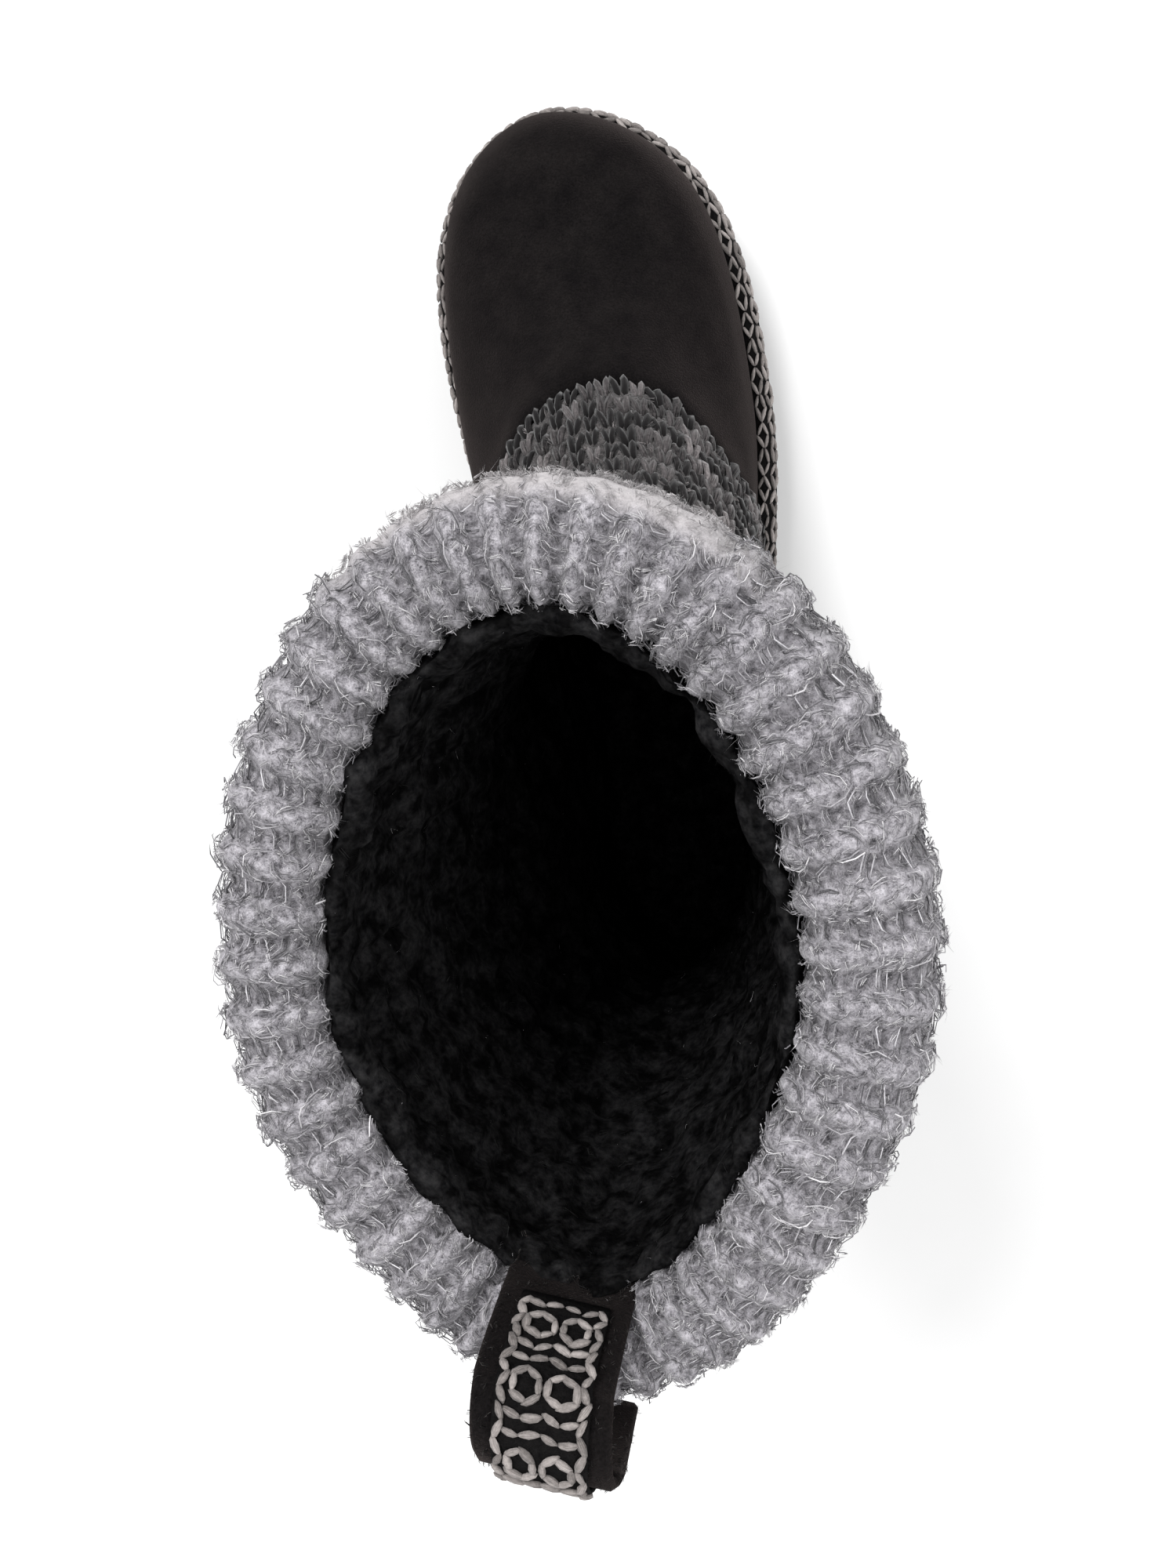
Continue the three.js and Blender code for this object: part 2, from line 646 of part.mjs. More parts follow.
const MATERIALS = {
  suede: material(0x1b191a, 0.95),
  darkKnit: material(0x55555a, 1),
  lightKnit: material(0xa9adb3, 1),
  rubber: material(0x171717, 0.7),
  braid: material(0x6e6b69, 1),
  fleece: material(0x141315, 1),
};

const PIECES = [
  ["outsole", makeOutsole, MATERIALS.rubber],
  ["braid_trim", makeTrim, MATERIALS.braid],
  ["insole", makeInsole, MATERIALS.fleece],
  ["upper", makeUpper, MATERIALS.suede],
  ["shaft", makeShaft, MATERIALS.darkKnit],
  ["cuff", makeCuff, MATERIALS.lightKnit],
  ["pull_loop", makePullLoop, MATERIALS.suede],
  ["loop_ribbon", makeLoopRibbon, MATERIALS.braid],
];

const boot = new THREE.Group();
for (const [name, make, finish] of PIECES) {
  const mesh = new THREE.Mesh(make(), finish);
  mesh.name = name;
  boot.add(mesh);
}

// The origin lies on the floor under the middle of the whole boot.
const box = new THREE.Box3().setFromObject(boot);
const middle = box.getCenter(new THREE.Vector3());
boot.position.set(-middle.x, -middle.y, -box.min.z);

export default boot;
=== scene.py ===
"""A pull-on mukluk boot for the right foot.

The boot's surface is worked out here from the same sizes as the model's, in millimetres, and each
piece is laid on it. Blender's own units are metres. +Y points to the toe, +X to the little-toe side.
A place on the surface is a turn round the leg in degrees from the middle of the back, a height in
sections from the feather line up to the shaft's top edge, and a distance outside the face.
"""
import json
import math

import bpy
import numpy as np
from mathutils import Matrix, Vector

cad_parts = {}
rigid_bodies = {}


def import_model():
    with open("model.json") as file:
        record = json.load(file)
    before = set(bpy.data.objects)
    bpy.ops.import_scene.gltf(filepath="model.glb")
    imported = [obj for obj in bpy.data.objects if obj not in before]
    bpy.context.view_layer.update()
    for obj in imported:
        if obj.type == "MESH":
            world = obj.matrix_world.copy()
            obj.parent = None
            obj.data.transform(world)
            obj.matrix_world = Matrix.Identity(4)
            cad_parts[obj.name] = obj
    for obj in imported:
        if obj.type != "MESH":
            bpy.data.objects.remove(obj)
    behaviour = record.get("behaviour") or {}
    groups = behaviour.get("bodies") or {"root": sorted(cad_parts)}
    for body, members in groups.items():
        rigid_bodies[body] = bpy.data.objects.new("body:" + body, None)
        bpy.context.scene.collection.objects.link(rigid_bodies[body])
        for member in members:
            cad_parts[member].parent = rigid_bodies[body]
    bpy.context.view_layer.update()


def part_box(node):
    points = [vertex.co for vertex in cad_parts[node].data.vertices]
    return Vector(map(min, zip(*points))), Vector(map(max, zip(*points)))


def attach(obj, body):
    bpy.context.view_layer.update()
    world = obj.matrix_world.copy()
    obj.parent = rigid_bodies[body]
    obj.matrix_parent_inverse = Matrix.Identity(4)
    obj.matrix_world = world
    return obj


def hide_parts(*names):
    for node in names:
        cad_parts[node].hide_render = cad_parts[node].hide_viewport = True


MM = 0.001
UP = np.array([0.0, 0.0, 1.0])

# Sizes of the foot, the leg and the pieces, as in the model
FOOT_LENGTH = 253
BALL_WIDTH = 87.5
INSTEP_HEIGHT = 60
SHAFT_RISE = 220
COLLAR_DEPTH = 153
COLLAR_WIDTH = 109
SHAFT_LEAN = 8
SHAFT_SETBACK = 8
SUEDE_WALL = 2.4
KNIT_WALL = 5
KNIT_PROUD = 0.8
SEAM_LAP = 8
GAP = 0.3
SOLE_THICKNESS = 16
LEDGE_HEIGHT = 11
TOE_SPRING = 9
ARCH_LIFT = 3
TREAD_DEPTH = 2.5
GROOVE_WIDTH = 4
GROOVE_PITCH = 14
TREAD_RIM = 6
SIDE_RIB_DEPTH = 1.2
INSOLE_THICKNESS = 7
TRIM_WIDTH = 8
TRIM_TOP = 26
TRIM_OVERHANG = 0.8
CUFF_DROP = 62
CUFF_THICKNESS = 10
CUFF_RISE = 8
CUFF_TUCK = 14
CUFF_INNER_WALL = 2.6
RIB_COUNT = 48
RIB_DEPTH = 1.2
LOOP_WIDTH = 25
LOOP_STRAP = 2.2
LOOP_HEIGHT = 26.5
LOOP_TUCK = 16
LOOP_TOP_RADIUS = 8
LOOP_TURN = 348
LOOP_SKEW = 5.4
RIBBON_WIDTH = 17
SEAM_STEP = 0.9
SPRING_START = 0.66  # share of the foot's length where the toe begins to rise
FIRST_RISE = 0.3  # of the first section over the feather line, as a share of the instep's height

# Sections of the upper from the feather line to the top edge, in hundredths of the sizes they follow
SECTION_COLUMNS = (
    "leg mid span back front toe lean "
    "latHeel latWaist latBall latToe medHeel medWaist medBall medToe"
).split()
SECTION_TABLE = [
    [0, 50, 100, 0, 0, -11.5, 0, 34.4, 38.8, 50, 41.2, 33.3, 27.5, 44, 37.6],
    [0, 50, 102.3, 30, 30, -11.5, 0, 37.2, 41.5, 52.8, 43.9, 36.1, 30.8, 46.8, 39.4],
    [0, 48.5, 100, 50, 55, -11, 0, 37.8, 41.5, 51.1, 40.5, 36.7, 32.8, 46.3, 36.4],
    [0, 45.7, 94, 63, 70, -10, 0, 37.8, 40.7, 48.8, 35.2, 36.7, 33.7, 44.7, 33.2],
    [0, 41.7, 85, 80, 85, -8, 0, 37.8, 39.9, 45.6, 29.8, 36.7, 34.7, 42.2, 29.6],
    [15, 37.9, 80.5, 71.9, 74.3, -5, 0, 37.2, 39.4, 42.1, 26.3, 36.1, 36.1, 40, 26.3],
    [35, 33.8, 77.5, 63.7, 67.2, -3, 5, 33.3, 40.3, 40.6, 25.6, 32.7, 38.6, 39.5, 25.6],
    [60, 29.8, 76.2, 58.6, 62.5, 0, 14, 30.9, 40.7, 38.9, 24.6, 30.9, 39.6, 38.4, 24.6],
    [85, 26.7, 80.7, 56.1, 62.3, 2, 28, 30, 41.2, 38.4, 24.2, 30, 41.2, 38.4, 24.2],
    [100, 25.2, 87.5, 61.1, 67.6, 3.5, 48, 30.2, 42.6, 39.6, 24.8, 29.8, 42.6, 39.6, 24.8],
    [100, 24.4, 91.2, 75, 80.6, 5, 70, 31.2, 45.6, 42.5, 26.2, 30.8, 45.6, 42.5, 26.2],
    [100, 24.2, 95.9, 88.9, 91.7, 6.2, 88, 31.8, 48.4, 45.2, 27.6, 31, 48.4, 45.2, 27.6],
    [100, 24.2, 100, 100, 100, 7, 100, 32.2, 50, 46.8, 28.2, 31.2, 50, 46.8, 28.2],
]
TOP = len(SECTION_TABLE) - 1
WIDTH_TURNS = np.array([0, 45, 80, 112, 145, 180, 215, 248, 280, 315, 360], float)

# Height of the seam between suede and knit, in sections, on either side, by turn from the back
SEAM_TURNS = np.array([0, 20, 40, 60, 80, 93, 106, 120, 138, 160, 180], float)
SEAM_LAT = np.array([4.1, 3.7, 2.4, 1.4, 1.3, 1.8, 3.4, 4.6, 5.2, 5.53, 5.7])
SEAM_MED = np.array([4.1, 3.7, 2.4, 1.4, 1.3, 1.8, 3.3, 4.5, 5.4, 5.67, 5.7])

# Steps in degrees and in sections over which the face's directions are measured
TURN_STEP = 0.5
RISE_STEP = 0.02

# Sections over which its normals turn level, at the feather line and at the top edge
LOW_BLEND = 0.3
HIGH_BLEND = 0.8

HALVINGS = 18  # find a height to a thousandth of a millimetre
FINE_TURNS = np.arange(240) * 1.5  # round the foot, the sole and the trim


def mix(a, b, share):
    return a + (b - a) * share


def smooth(x):
    t = np.clip(x, 0, 1)
    return t * t * (3 - 2 * t)


def hermite(places, values, slopes, x):
    """A smooth curve through values at places; values may have a column of their own for each x."""
    i = np.searchsorted(places[1:-1], x, side="left")
    column = () if values.ndim == 1 else (np.arange(len(x)),)
    run = places[i + 1] - places[i]
    t = (x - places[i]) / run
    t2, t3 = t * t, t * t * t
    return (
        values[(i, *column)] * (2 * t3 - 3 * t2 + 1)
        + slopes[(i, *column)] * run * (t3 - 2 * t2 + t)
        + values[(i + 1, *column)] * (3 * t2 - 2 * t3)
        + slopes[(i + 1, *column)] * run * (t3 - t2)
    )


def open_slopes(places, values):
    count = len(places)
    before = np.maximum(0, np.arange(count) - 1)
    after = np.minimum(count - 1, np.arange(count) + 1)
    return (values[after] - values[before]) / (places[after] - places[before])


def closed_slopes(places, values):
    """Slopes of a curve that closes on itself: its last place is its first one again."""
    count = len(places)
    before = np.array([count - 2, *range(count - 1)])
    after = np.array([*range(1, count), 1])
    run = (places[after] - places[before]) % (places[-1] - places[0])
    return (values[after] - values[before]) / run[:, None]


def section_curves():
    """The sections' lengths in millimetres, each with its slopes from section to section."""
    table = dict(zip(SECTION_COLUMNS, np.array(SECTION_TABLE, float).T / 100))
    wide = mix(BALL_WIDTH, COLLAR_WIDTH, table["leg"])
    tall = mix(INSTEP_HEIGHT, SHAFT_RISE, table["leg"])
    lengths = {
        "mid": table["mid"] * FOOT_LENGTH - table["lean"] * SHAFT_SETBACK,
        "span": table["span"] * mix(FOOT_LENGTH, COLLAR_DEPTH, table["leg"]),
        "back": table["back"] * tall,
        "front": table["front"] * tall,
        "toe": table["toe"] * BALL_WIDTH,
        "lean": table["lean"] * SHAFT_LEAN,
        "foot": 1 - table["leg"],
    }
    for name in SECTION_COLUMNS[-8:]:
        lengths[name] = table[name] * wide
    return {name: (values, open_slopes(PLACES, values)) for name, values in lengths.items()}


PLACES = np.arange(TOP + 1, dtype=float)
CURVES = section_curves()


def toe_spring(y):
    start = SPRING_START * FOOT_LENGTH
    share = np.maximum(0, (y - start) / (FOOT_LENGTH + TRIM_WIDTH - start))
    return TOE_SPRING * share * share


def unit(vectors):
    return vectors / np.maximum(1e-9, np.linalg.norm(vectors, axis=-1, keepdims=True))


def face_points(turn, height):
    """Points of the upper's outer face."""
    turn, height = np.broadcast_arrays(np.asarray(turn, float) % 360, np.asarray(height, float))
    shape = turn.shape
    turn, height = turn.ravel(), height.ravel()
    s = {name: hermite(PLACES, values, slopes, height) for name, (values, slopes) in CURVES.items()}
    none = np.zeros_like(turn)
    lateral = [s["latHeel"], s["latWaist"], s["latBall"], s["latToe"]]
    medial = [-s["medToe"], -s["medBall"], -s["medWaist"], -s["medHeel"]]
    widths = np.array([none, *lateral, none, *medial, none])
    across = hermite(WIDTH_TURNS, widths, closed_slopes(WIDTH_TURNS, widths), turn)
    along = (1 - np.cos(np.radians(turn))) / 2
    y = s["mid"] + s["span"] * (along - 0.5)
    z = SOLE_THICKNESS + mix(s["back"], s["front"], along) + toe_spring(y) * s["foot"]
    x = across + s["toe"] * along - s["lean"]
    return np.stack([x, y, z], axis=-1).reshape(*shape, 3)


def level_normals(turn, height):
    """Level outward directions round a section."""
    turn = np.asarray(turn, float)
    round_it = face_points(turn + TURN_STEP, height) - face_points(turn - TURN_STEP, height)
    return unit(np.cross(round_it, UP))


def face_normals(turn, height):
    """Outward normals of the face; they turn level at the feather line and at the top edge."""
    turn, height = np.broadcast_arrays(np.asarray(turn, float), np.asarray(height, float))
    inside = np.clip(height, RISE_STEP, TOP - RISE_STEP)
    round_it = face_points(turn + TURN_STEP, inside) - face_points(turn - TURN_STEP, inside)
    rise = face_points(turn, inside + RISE_STEP) - face_points(turn, inside - RISE_STEP)
    normal = unit(np.cross(round_it, rise))
    level = level_normals(turn, np.clip(height, 0, TOP))
    share = np.maximum(smooth(1 - height / LOW_BLEND), smooth((height - TOP + HIGH_BLEND) / HIGH_BLEND))
    return unit(mix(normal, level, share[..., None]))


def shell_points(turn, height, distance):
    """Points outside the face, or inside it where the distance is negative."""
    distance = np.asarray(distance, float)[..., None]
    return face_points(turn, height) + face_normals(turn, height) * distance


def seam_heights(turn):
    """Where the suede ends and the knit begins, in sections."""
    turn = np.asarray(turn, float) % 360
    fold = np.where(turn > 180, 360 - turn, turn)
    lateral = hermite(SEAM_TURNS, SEAM_LAT, open_slopes(SEAM_TURNS, SEAM_LAT), fold)
    medial = hermite(SEAM_TURNS, SEAM_MED, open_slopes(SEAM_TURNS, SEAM_MED), fold)
    return np.where(turn > 180, medial, lateral)


def low_height(rise):
    """Height in sections of a place low on the foot, that many millimetres over the feather line."""
    return rise / INSTEP_HEIGHT / FIRST_RISE


def heights_below(turn, top, drop):
    """Heights in sections of the face's points that lie the given way below others."""
    turn, top, drop = np.broadcast_arrays(turn, np.asarray(top, float), np.asarray(drop, float))
    start = face_points(turn, top)
    low, high = np.zeros(turn.shape), top.copy()
    for _ in range(HALVINGS):
        middle = (low + high) / 2
        far = np.linalg.norm(face_points(turn, middle) - start, axis=-1) > drop
        low, high = np.where(far, middle, low), np.where(far, high, middle)
    return high


def collar_points(turn, drop, distance):
    """Points of the collar: below its edge on the surface's own normals, above it straight up."""
    turn, drop, distance = np.broadcast_arrays(
        np.asarray(turn, float), np.asarray(drop, float), np.asarray(distance, float)
    )
    height = heights_below(turn, TOP, np.maximum(drop, 0))
    points = shell_points(turn, height, distance)
    points[..., 2] += np.maximum(-drop, 0)
    return points


MODEL_TURNS = np.arange(60) * 6.0  # of the points round the model's sole
SOLE_EDGE = TRIM_WIDTH - TRIM_OVERHANG


def frame_shift():
    """The way in millimetres from the surface's origin to the frame's, found from the sole's own box."""
    low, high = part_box("outsole")
    loop = face_points(MODEL_TURNS, 0) + level_normals(MODEL_TURNS, 0) * SOLE_EDGE
    middle = (loop.min(axis=0) + loop.max(axis=0)) / 2
    x, y = ((low[axis] + high[axis]) / 2 / MM - middle[axis] for axis in (0, 1))
    return np.array([x, y, 0.0])


# Curves and grids of points


def spline(points, count):
    """A smooth curve through points, sampled at even shares of its control points."""
    points = np.asarray(points, float)
    spans = len(points) - 1
    t = np.linspace(0, spans, count)
    i = np.minimum(t.astype(int), spans - 1)
    f = (t - i).reshape(-1, *[1] * (points.ndim - 1))
    a, b, c, d = (points[np.clip(i + step, 0, spans)] for step in (-1, 0, 1, 2))
    return 0.5 * (2 * b + (c - a) * f + (2 * a - 5 * b + 4 * c - d) * f**2 + (3 * b - a - 3 * c + d) * f**3)


def path_length(path):
    """The way along a path to each of its points."""
    return np.concatenate([[0], np.cumsum(np.linalg.norm(np.diff(path, axis=0), axis=1))])


def grid_faces(rows, columns, close_rows, close_columns):
    """Quads between neighbours of a grid of points, counted row by row."""
    i = np.arange(rows if close_rows else rows - 1)[:, None]
    j = np.arange(columns if close_columns else columns - 1)[None, :]
    i2, j2 = (i + 1) % rows, (j + 1) % columns
    quads = np.stack([i * columns + j, i * columns + j2, i2 * columns + j2, i2 * columns + j], axis=-1)
    return quads.reshape(-1, 4)


def grid_normals(points):
    """Outward normals of a grid whose rows go round the leg and whose columns are open."""
    round_it = np.roll(points, -1, 0) - np.roll(points, 1, 0)
    return unit(np.cross(round_it, np.gradient(points, axis=1)))


TINY = 1e-6  # keeps a path that points straight up from having no side


def tube(path, radius, sides, gleam=0.0):
    """A closed tube along a path, as points, faces and marks: the way along and round it, and its gleam.

    Its radius may change along the path.
    """
    path = np.asarray(path, float)
    count = len(path)
    radius = np.broadcast_to(radius, count)
    run = unit(np.gradient(path, axis=0))
    side = unit(np.cross(run, UP) + TINY)
    rise = unit(np.cross(side, run))
    angle = np.arange(sides) * 2 * math.pi / sides
    cosine, sine = np.cos(angle), np.sin(angle)
    ring = cosine[None, :, None] * side[:, None] + sine[None, :, None] * rise[:, None]
    points = path[:, None] + ring * radius[:, None, None]
    last = (count - 1) * sides
    faces = [tuple(face) for face in grid_faces(count, sides, False, True)[:, ::-1]]
    faces.append(tuple(range(sides)))
    faces.append(tuple(last + k for k in reversed(range(sides))))
    length = np.repeat(path_length(path), sides)
    marks = [length, np.tile(cosine, count), np.tile(sine, count), np.full(count * sides, gleam)]
    return points.reshape(-1, 3), faces, np.stack(marks, axis=1)


def hair(path, radius, gleam):
    """A fine fibre along a path: three-sided, and pointed at its end."""
    path = np.asarray(path, float)
    count = len(path)
    points, faces, marks = tube(path[:-1], np.broadcast_to(radius, count)[:-1], 3, gleam=gleam)
    faces = faces[:-1]
    last = 3 * (count - 2)
    faces += [(last + (k + 1) % 3, last + k, last + 3) for k in range(3)]
    return np.append(points, path[-1:], axis=0), faces, np.append(marks, marks[-1:], axis=0)


# Meshes and pieces


def new_mesh(name, points, faces):
    """A smooth mesh from points in millimetres."""
    mesh = bpy.data.meshes.new(name)
    points = np.asarray(points, float).reshape(-1, 3) * MM
    mesh.from_pydata(points.tolist(), [], [list(face) for face in faces])
    mesh.update()
    mesh.shade_smooth()
    return mesh


def add_object(name, mesh):
    piece = bpy.data.objects.new(name, mesh)
    bpy.context.scene.collection.objects.link(piece)
    return piece


def add_piece(name, points, faces, finish):
    """A piece from points in the surface's own millimetres."""
    mesh = new_mesh(name, np.asarray(points).reshape(-1, 3) + SHIFT, faces)
    mesh.materials.append(finish)
    return add_object(name, mesh)


def ring_piece(name, profiles, finish):
    """A closed ring: one closed profile for each turn, drawn upwards on its outer side."""
    turns, size = profiles.shape[:2]
    return add_piece(name, profiles, grid_faces(turns, size, True, True), finish)


def join_parts(parts):
    """Several parts as one."""
    points, faces, marks, start = [], [], [], 0
    for part_points, part_faces, part_marks in parts:
        points.append(part_points)
        marks.append(part_marks)
        faces.extend(tuple(start + k for k in face) for face in part_faces)
        start += len(part_points)
    return np.concatenate(points), faces, np.concatenate(marks)


# Node trees

# Added to a tree's seed, so that tones and sizes are drawn apart from turns
TONE_SEED = 5.0
SIZE_SEED = 9.0

FIBRE_SPREAD = 0.35  # how far fibres differ in size, as a share of it


def put(tree, kind, settings=None, **inputs):
    """Adds a node. An input's name has _ for each space; a value may be another node's output."""
    node = tree.nodes.new(kind)
    for name, value in (settings or {}).items():
        setattr(node, name, value)
    for name, value in inputs.items():
        give(tree, node, name.replace("_", " "), value)
    return node


def give(tree, node, name, value):
    socket = node.inputs[name]
    if isinstance(value, bpy.types.NodeSocket):
        tree.links.new(value, socket)
    else:
        socket.default_value = value


def math_node(tree, operation, a, b):
    node = put(tree, "ShaderNodeMath", {"operation": operation})
    give(tree, node, 0, a)
    give(tree, node, 1, b)
    return node.outputs[0]


def new_group(name, sockets):
    """A geometry tree with named inputs, and its input node."""
    tree = bpy.data.node_groups.new(name, "GeometryNodeTree")
    for label, kind in sockets.items():
        tree.interface.new_socket(name=label, in_out="INPUT", socket_type=kind)
    tree.interface.new_socket(name="Result", in_out="OUTPUT", socket_type="NodeSocketGeometry")
    return tree, tree.nodes.new("NodeGroupInput")


def finish_group(tree, given, instances):
    """Ends a tree: random tones, real meshes and the material."""
    seed = math_node(tree, "ADD", given["Seed"], TONE_SEED)
    tone = put(tree, "FunctionNodeRandomValue", {"data_type": "FLOAT"}, Seed=seed)
    kind = {"data_type": "FLOAT", "domain": "INSTANCE"}
    stored = put(tree, "GeometryNodeStoreNamedAttribute", kind, Geometry=instances, Name="tone")
    tree.links.new(tone.outputs[1], stored.inputs["Value"])
    real = put(tree, "GeometryNodeRealizeInstances", Geometry=stored.outputs[0])
    set_finish = put(tree, "GeometryNodeSetMaterial", Geometry=real.outputs[0], Material=given["Finish"])
    end = tree.nodes.new("NodeGroupOutput")
    tree.links.new(set_finish.outputs[0], end.inputs[0])
    return tree


def random_turns(tree, given, rotation, lean, twist):
    """Turns each instance a little, at random, about its own place."""
    low = put(tree, "ShaderNodeCombineXYZ")
    high = put(tree, "ShaderNodeCombineXYZ")
    for axis, spread in zip("XYZ", (lean, lean, twist)):
        give(tree, high, axis, spread)
        give(tree, low, axis, math_node(tree, "MULTIPLY", spread, -1.0))
    turned = put(tree, "FunctionNodeRandomValue", {"data_type": "FLOAT_VECTOR"}, Seed=given["Seed"])
    tree.links.new(low.outputs[0], turned.inputs["Min"])
    tree.links.new(high.outputs[0], turned.inputs["Max"])
    euler = tree.nodes.new("FunctionNodeEulerToRotation")
    tree.links.new(turned.outputs[0], euler.inputs[0])
    both = put(tree, "FunctionNodeRotateRotation", {"rotation_space": "LOCAL"})
    tree.links.new(rotation, both.inputs[0])
    tree.links.new(euler.outputs[0], both.inputs[1])
    return both.outputs[0]


def random_size(tree, given):
    """One random factor for each instance, 1 give or take the size spread."""
    spread = given["Size spread"]
    seed = math_node(tree, "ADD", given["Seed"], SIZE_SEED)
    value = put(tree, "FunctionNodeRandomValue", {"data_type": "FLOAT"}, Seed=seed)
    tree.links.new(math_node(tree, "SUBTRACT", 1.0, spread), value.inputs[2])
    tree.links.new(math_node(tree, "ADD", 1.0, spread), value.inputs[3])
    return value.outputs[1]


def stocked_parts(tree, given):
    """The part shapes of a collection, each as an instance of its own."""
    node = put(
        tree,
        "GeometryNodeCollectionInfo",
        Collection=given["Parts"],
        Separate_Children=True,
        Reset_Children=True,
    )
    return node.outputs[0]


def set_parts(tree, given, points, rotation, scale):
    """One part on each point, picked in turn, and the end of the tree."""
    instances = put(
        tree,
        "GeometryNodeInstanceOnPoints",
        Points=points,
        Instance=stocked_parts(tree, given),
        Pick_Instance=True,
        Rotation=rotation,
        Scale=scale,
    )
    return finish_group(tree, given, instances.outputs[0])


def read_attribute(tree, name, kind):
    return put(tree, "GeometryNodeInputNamedAttribute", {"data_type": kind}, Name=name).outputs[0]


def station_group():
    """Sets a part on each station, along the station's own directions."""
    sockets = {
        "Stations": "NodeSocketGeometry",
        "Parts": "NodeSocketCollection",
        "Size spread": "NodeSocketFloat",
        "Lean": "NodeSocketFloat",
        "Seed": "NodeSocketInt",
        "Finish": "NodeSocketMaterial",
    }
    tree, start = new_group("Set parts on stations", sockets)
    given = start.outputs
    out, along, size = (read_attribute(tree, name, "FLOAT_VECTOR") for name in ("out", "along", "size"))
    axes = put(tree, "FunctionNodeAxesToRotation", {"primary_axis": "Z", "secondary_axis": "Y"})
    tree.links.new(out, axes.inputs[0])
    tree.links.new(along, axes.inputs[1])
    rotation = random_turns(tree, given, axes.outputs[0], given["Lean"], given["Lean"])
    scale = put(tree, "ShaderNodeVectorMath", {"operation": "SCALE"})
    tree.links.new(size, scale.inputs[0])
    tree.links.new(random_size(tree, given), scale.inputs["Scale"])
    return set_parts(tree, given, given["Stations"], rotation, scale.outputs[0])


def scatter_group():
    """Strews fibres or tufts over a surface, more of them where its cover is higher."""
    sockets = {
        "Surface": "NodeSocketGeometry",
        "Parts": "NodeSocketCollection",
        "Density": "NodeSocketFloat",
        "Size": "NodeSocketFloat",
        "Size spread": "NodeSocketFloat",
        "Lean": "NodeSocketFloat",
        "Seed": "NodeSocketInt",
        "Finish": "NodeSocketMaterial",
    }
    tree, start = new_group("Strew over a surface", sockets)
    given = start.outputs
    density = math_node(tree, "MULTIPLY", read_attribute(tree, "cover", "FLOAT"), given["Density"])
    spots = put(
        tree,
        "GeometryNodeDistributePointsOnFaces",
        Mesh=given["Surface"],
        Density=density,
        Seed=given["Seed"],
    )
    rotation = random_turns(tree, given, spots.outputs["Rotation"], given["Lean"], math.pi)
    scale = math_node(tree, "MULTIPLY", random_size(tree, given), given["Size"])
    return set_parts(tree, given, spots.outputs["Points"], rotation, scale)


def grow(name, base, tree, values):
    """Runs a tree on a mesh, and keeps the result as a plain mesh on an object of its own."""
    carrier = add_object(name + "_carrier", base)
    modifier = carrier.modifiers.new(name, "NODES")
    modifier.node_group = tree
    for item in tree.interface.items_tree:
        if item.in_out == "INPUT" and item.name in values:
            modifier[item.identifier] = values[item.name]
    carrier.update_tag()
    graph = bpy.context.evaluated_depsgraph_get()
    mesh = bpy.data.meshes.new_from_object(carrier.evaluated_get(graph))
    carrier.modifiers.remove(modifier)
    bpy.data.objects.remove(carrier)
    mesh.name = name
    return add_object(name, mesh)


def add_marks(mesh, name, kind, values):
    """An attribute of the mesh's points, from numbers or vectors."""
    field = "vector" if kind == "FLOAT_VECTOR" else "value"
    marks = mesh.attributes.new(name, kind, "POINT")
    marks.data.foreach_set(field, np.asarray(values, np.float32).ravel())


def stock(name, parts):
    """A collection of part shapes, kept out of the scene, for a tree to set out."""
    shelf = bpy.data.collections.new(name)
    for number, (points, faces, marks) in enumerate(parts):
        mesh = new_mesh(f"{name}_{number}", points, faces)
        add_marks(mesh, "strand", "FLOAT_VECTOR", marks[:, :3])
        add_marks(mesh, "gleam", "FLOAT", marks[:, 3])
        shelf.objects.link(bpy.data.objects.new(f"{name}_{number}", mesh))
    return shelf


def clear_stock(shelf):
    for part in list(shelf.objects):
        bpy.data.objects.remove(part)
    bpy.data.collections.remove(shelf)


def set_out(name, parts, points, out, along, size, finish, spread=0.06, lean=0.06, seed=1):
    """One part on each station. out and along are directions, size is in millimetres."""
    mesh = new_mesh(name + "_stations", points.reshape(-1, 3) + SHIFT, [])
    size = np.broadcast_to(size, (len(mesh.vertices), 3))
    for label, vectors in (("out", out), ("along", along), ("size", size)):
        add_marks(mesh, label, "FLOAT_VECTOR", vectors)
    shelf = stock(name, parts)
    values = {"Parts": shelf, "Size spread": spread, "Lean": lean, "Seed": seed, "Finish": finish}
    piece = grow(name, mesh, STATIONS, values)
    clear_stock(shelf)
    return piece


def strew(name, parts, surface, cover, density, finish, lean=0.9, seed=1):
    """Fibres over a grid of points; cover is 0 to 1 at each. density is for each square millimetre."""
    rows, columns = surface.shape[:2]
    mesh = new_mesh(name + "_surface", surface.reshape(-1, 3) + SHIFT, grid_faces(rows, columns, True, False))
    add_marks(mesh, "cover", "FLOAT", np.broadcast_to(cover, (rows, columns)))
    shelf = stock(name, parts)
    values = {
        "Parts": shelf,
        "Density": density / MM**2,
        "Size": 1.0,
        "Size spread": FIBRE_SPREAD,
        "Lean": lean,
        "Seed": seed,
        "Finish": finish,
    }
    piece = grow(name, mesh, SCATTER, values)
    clear_stock(shelf)
    return piece


# Materials


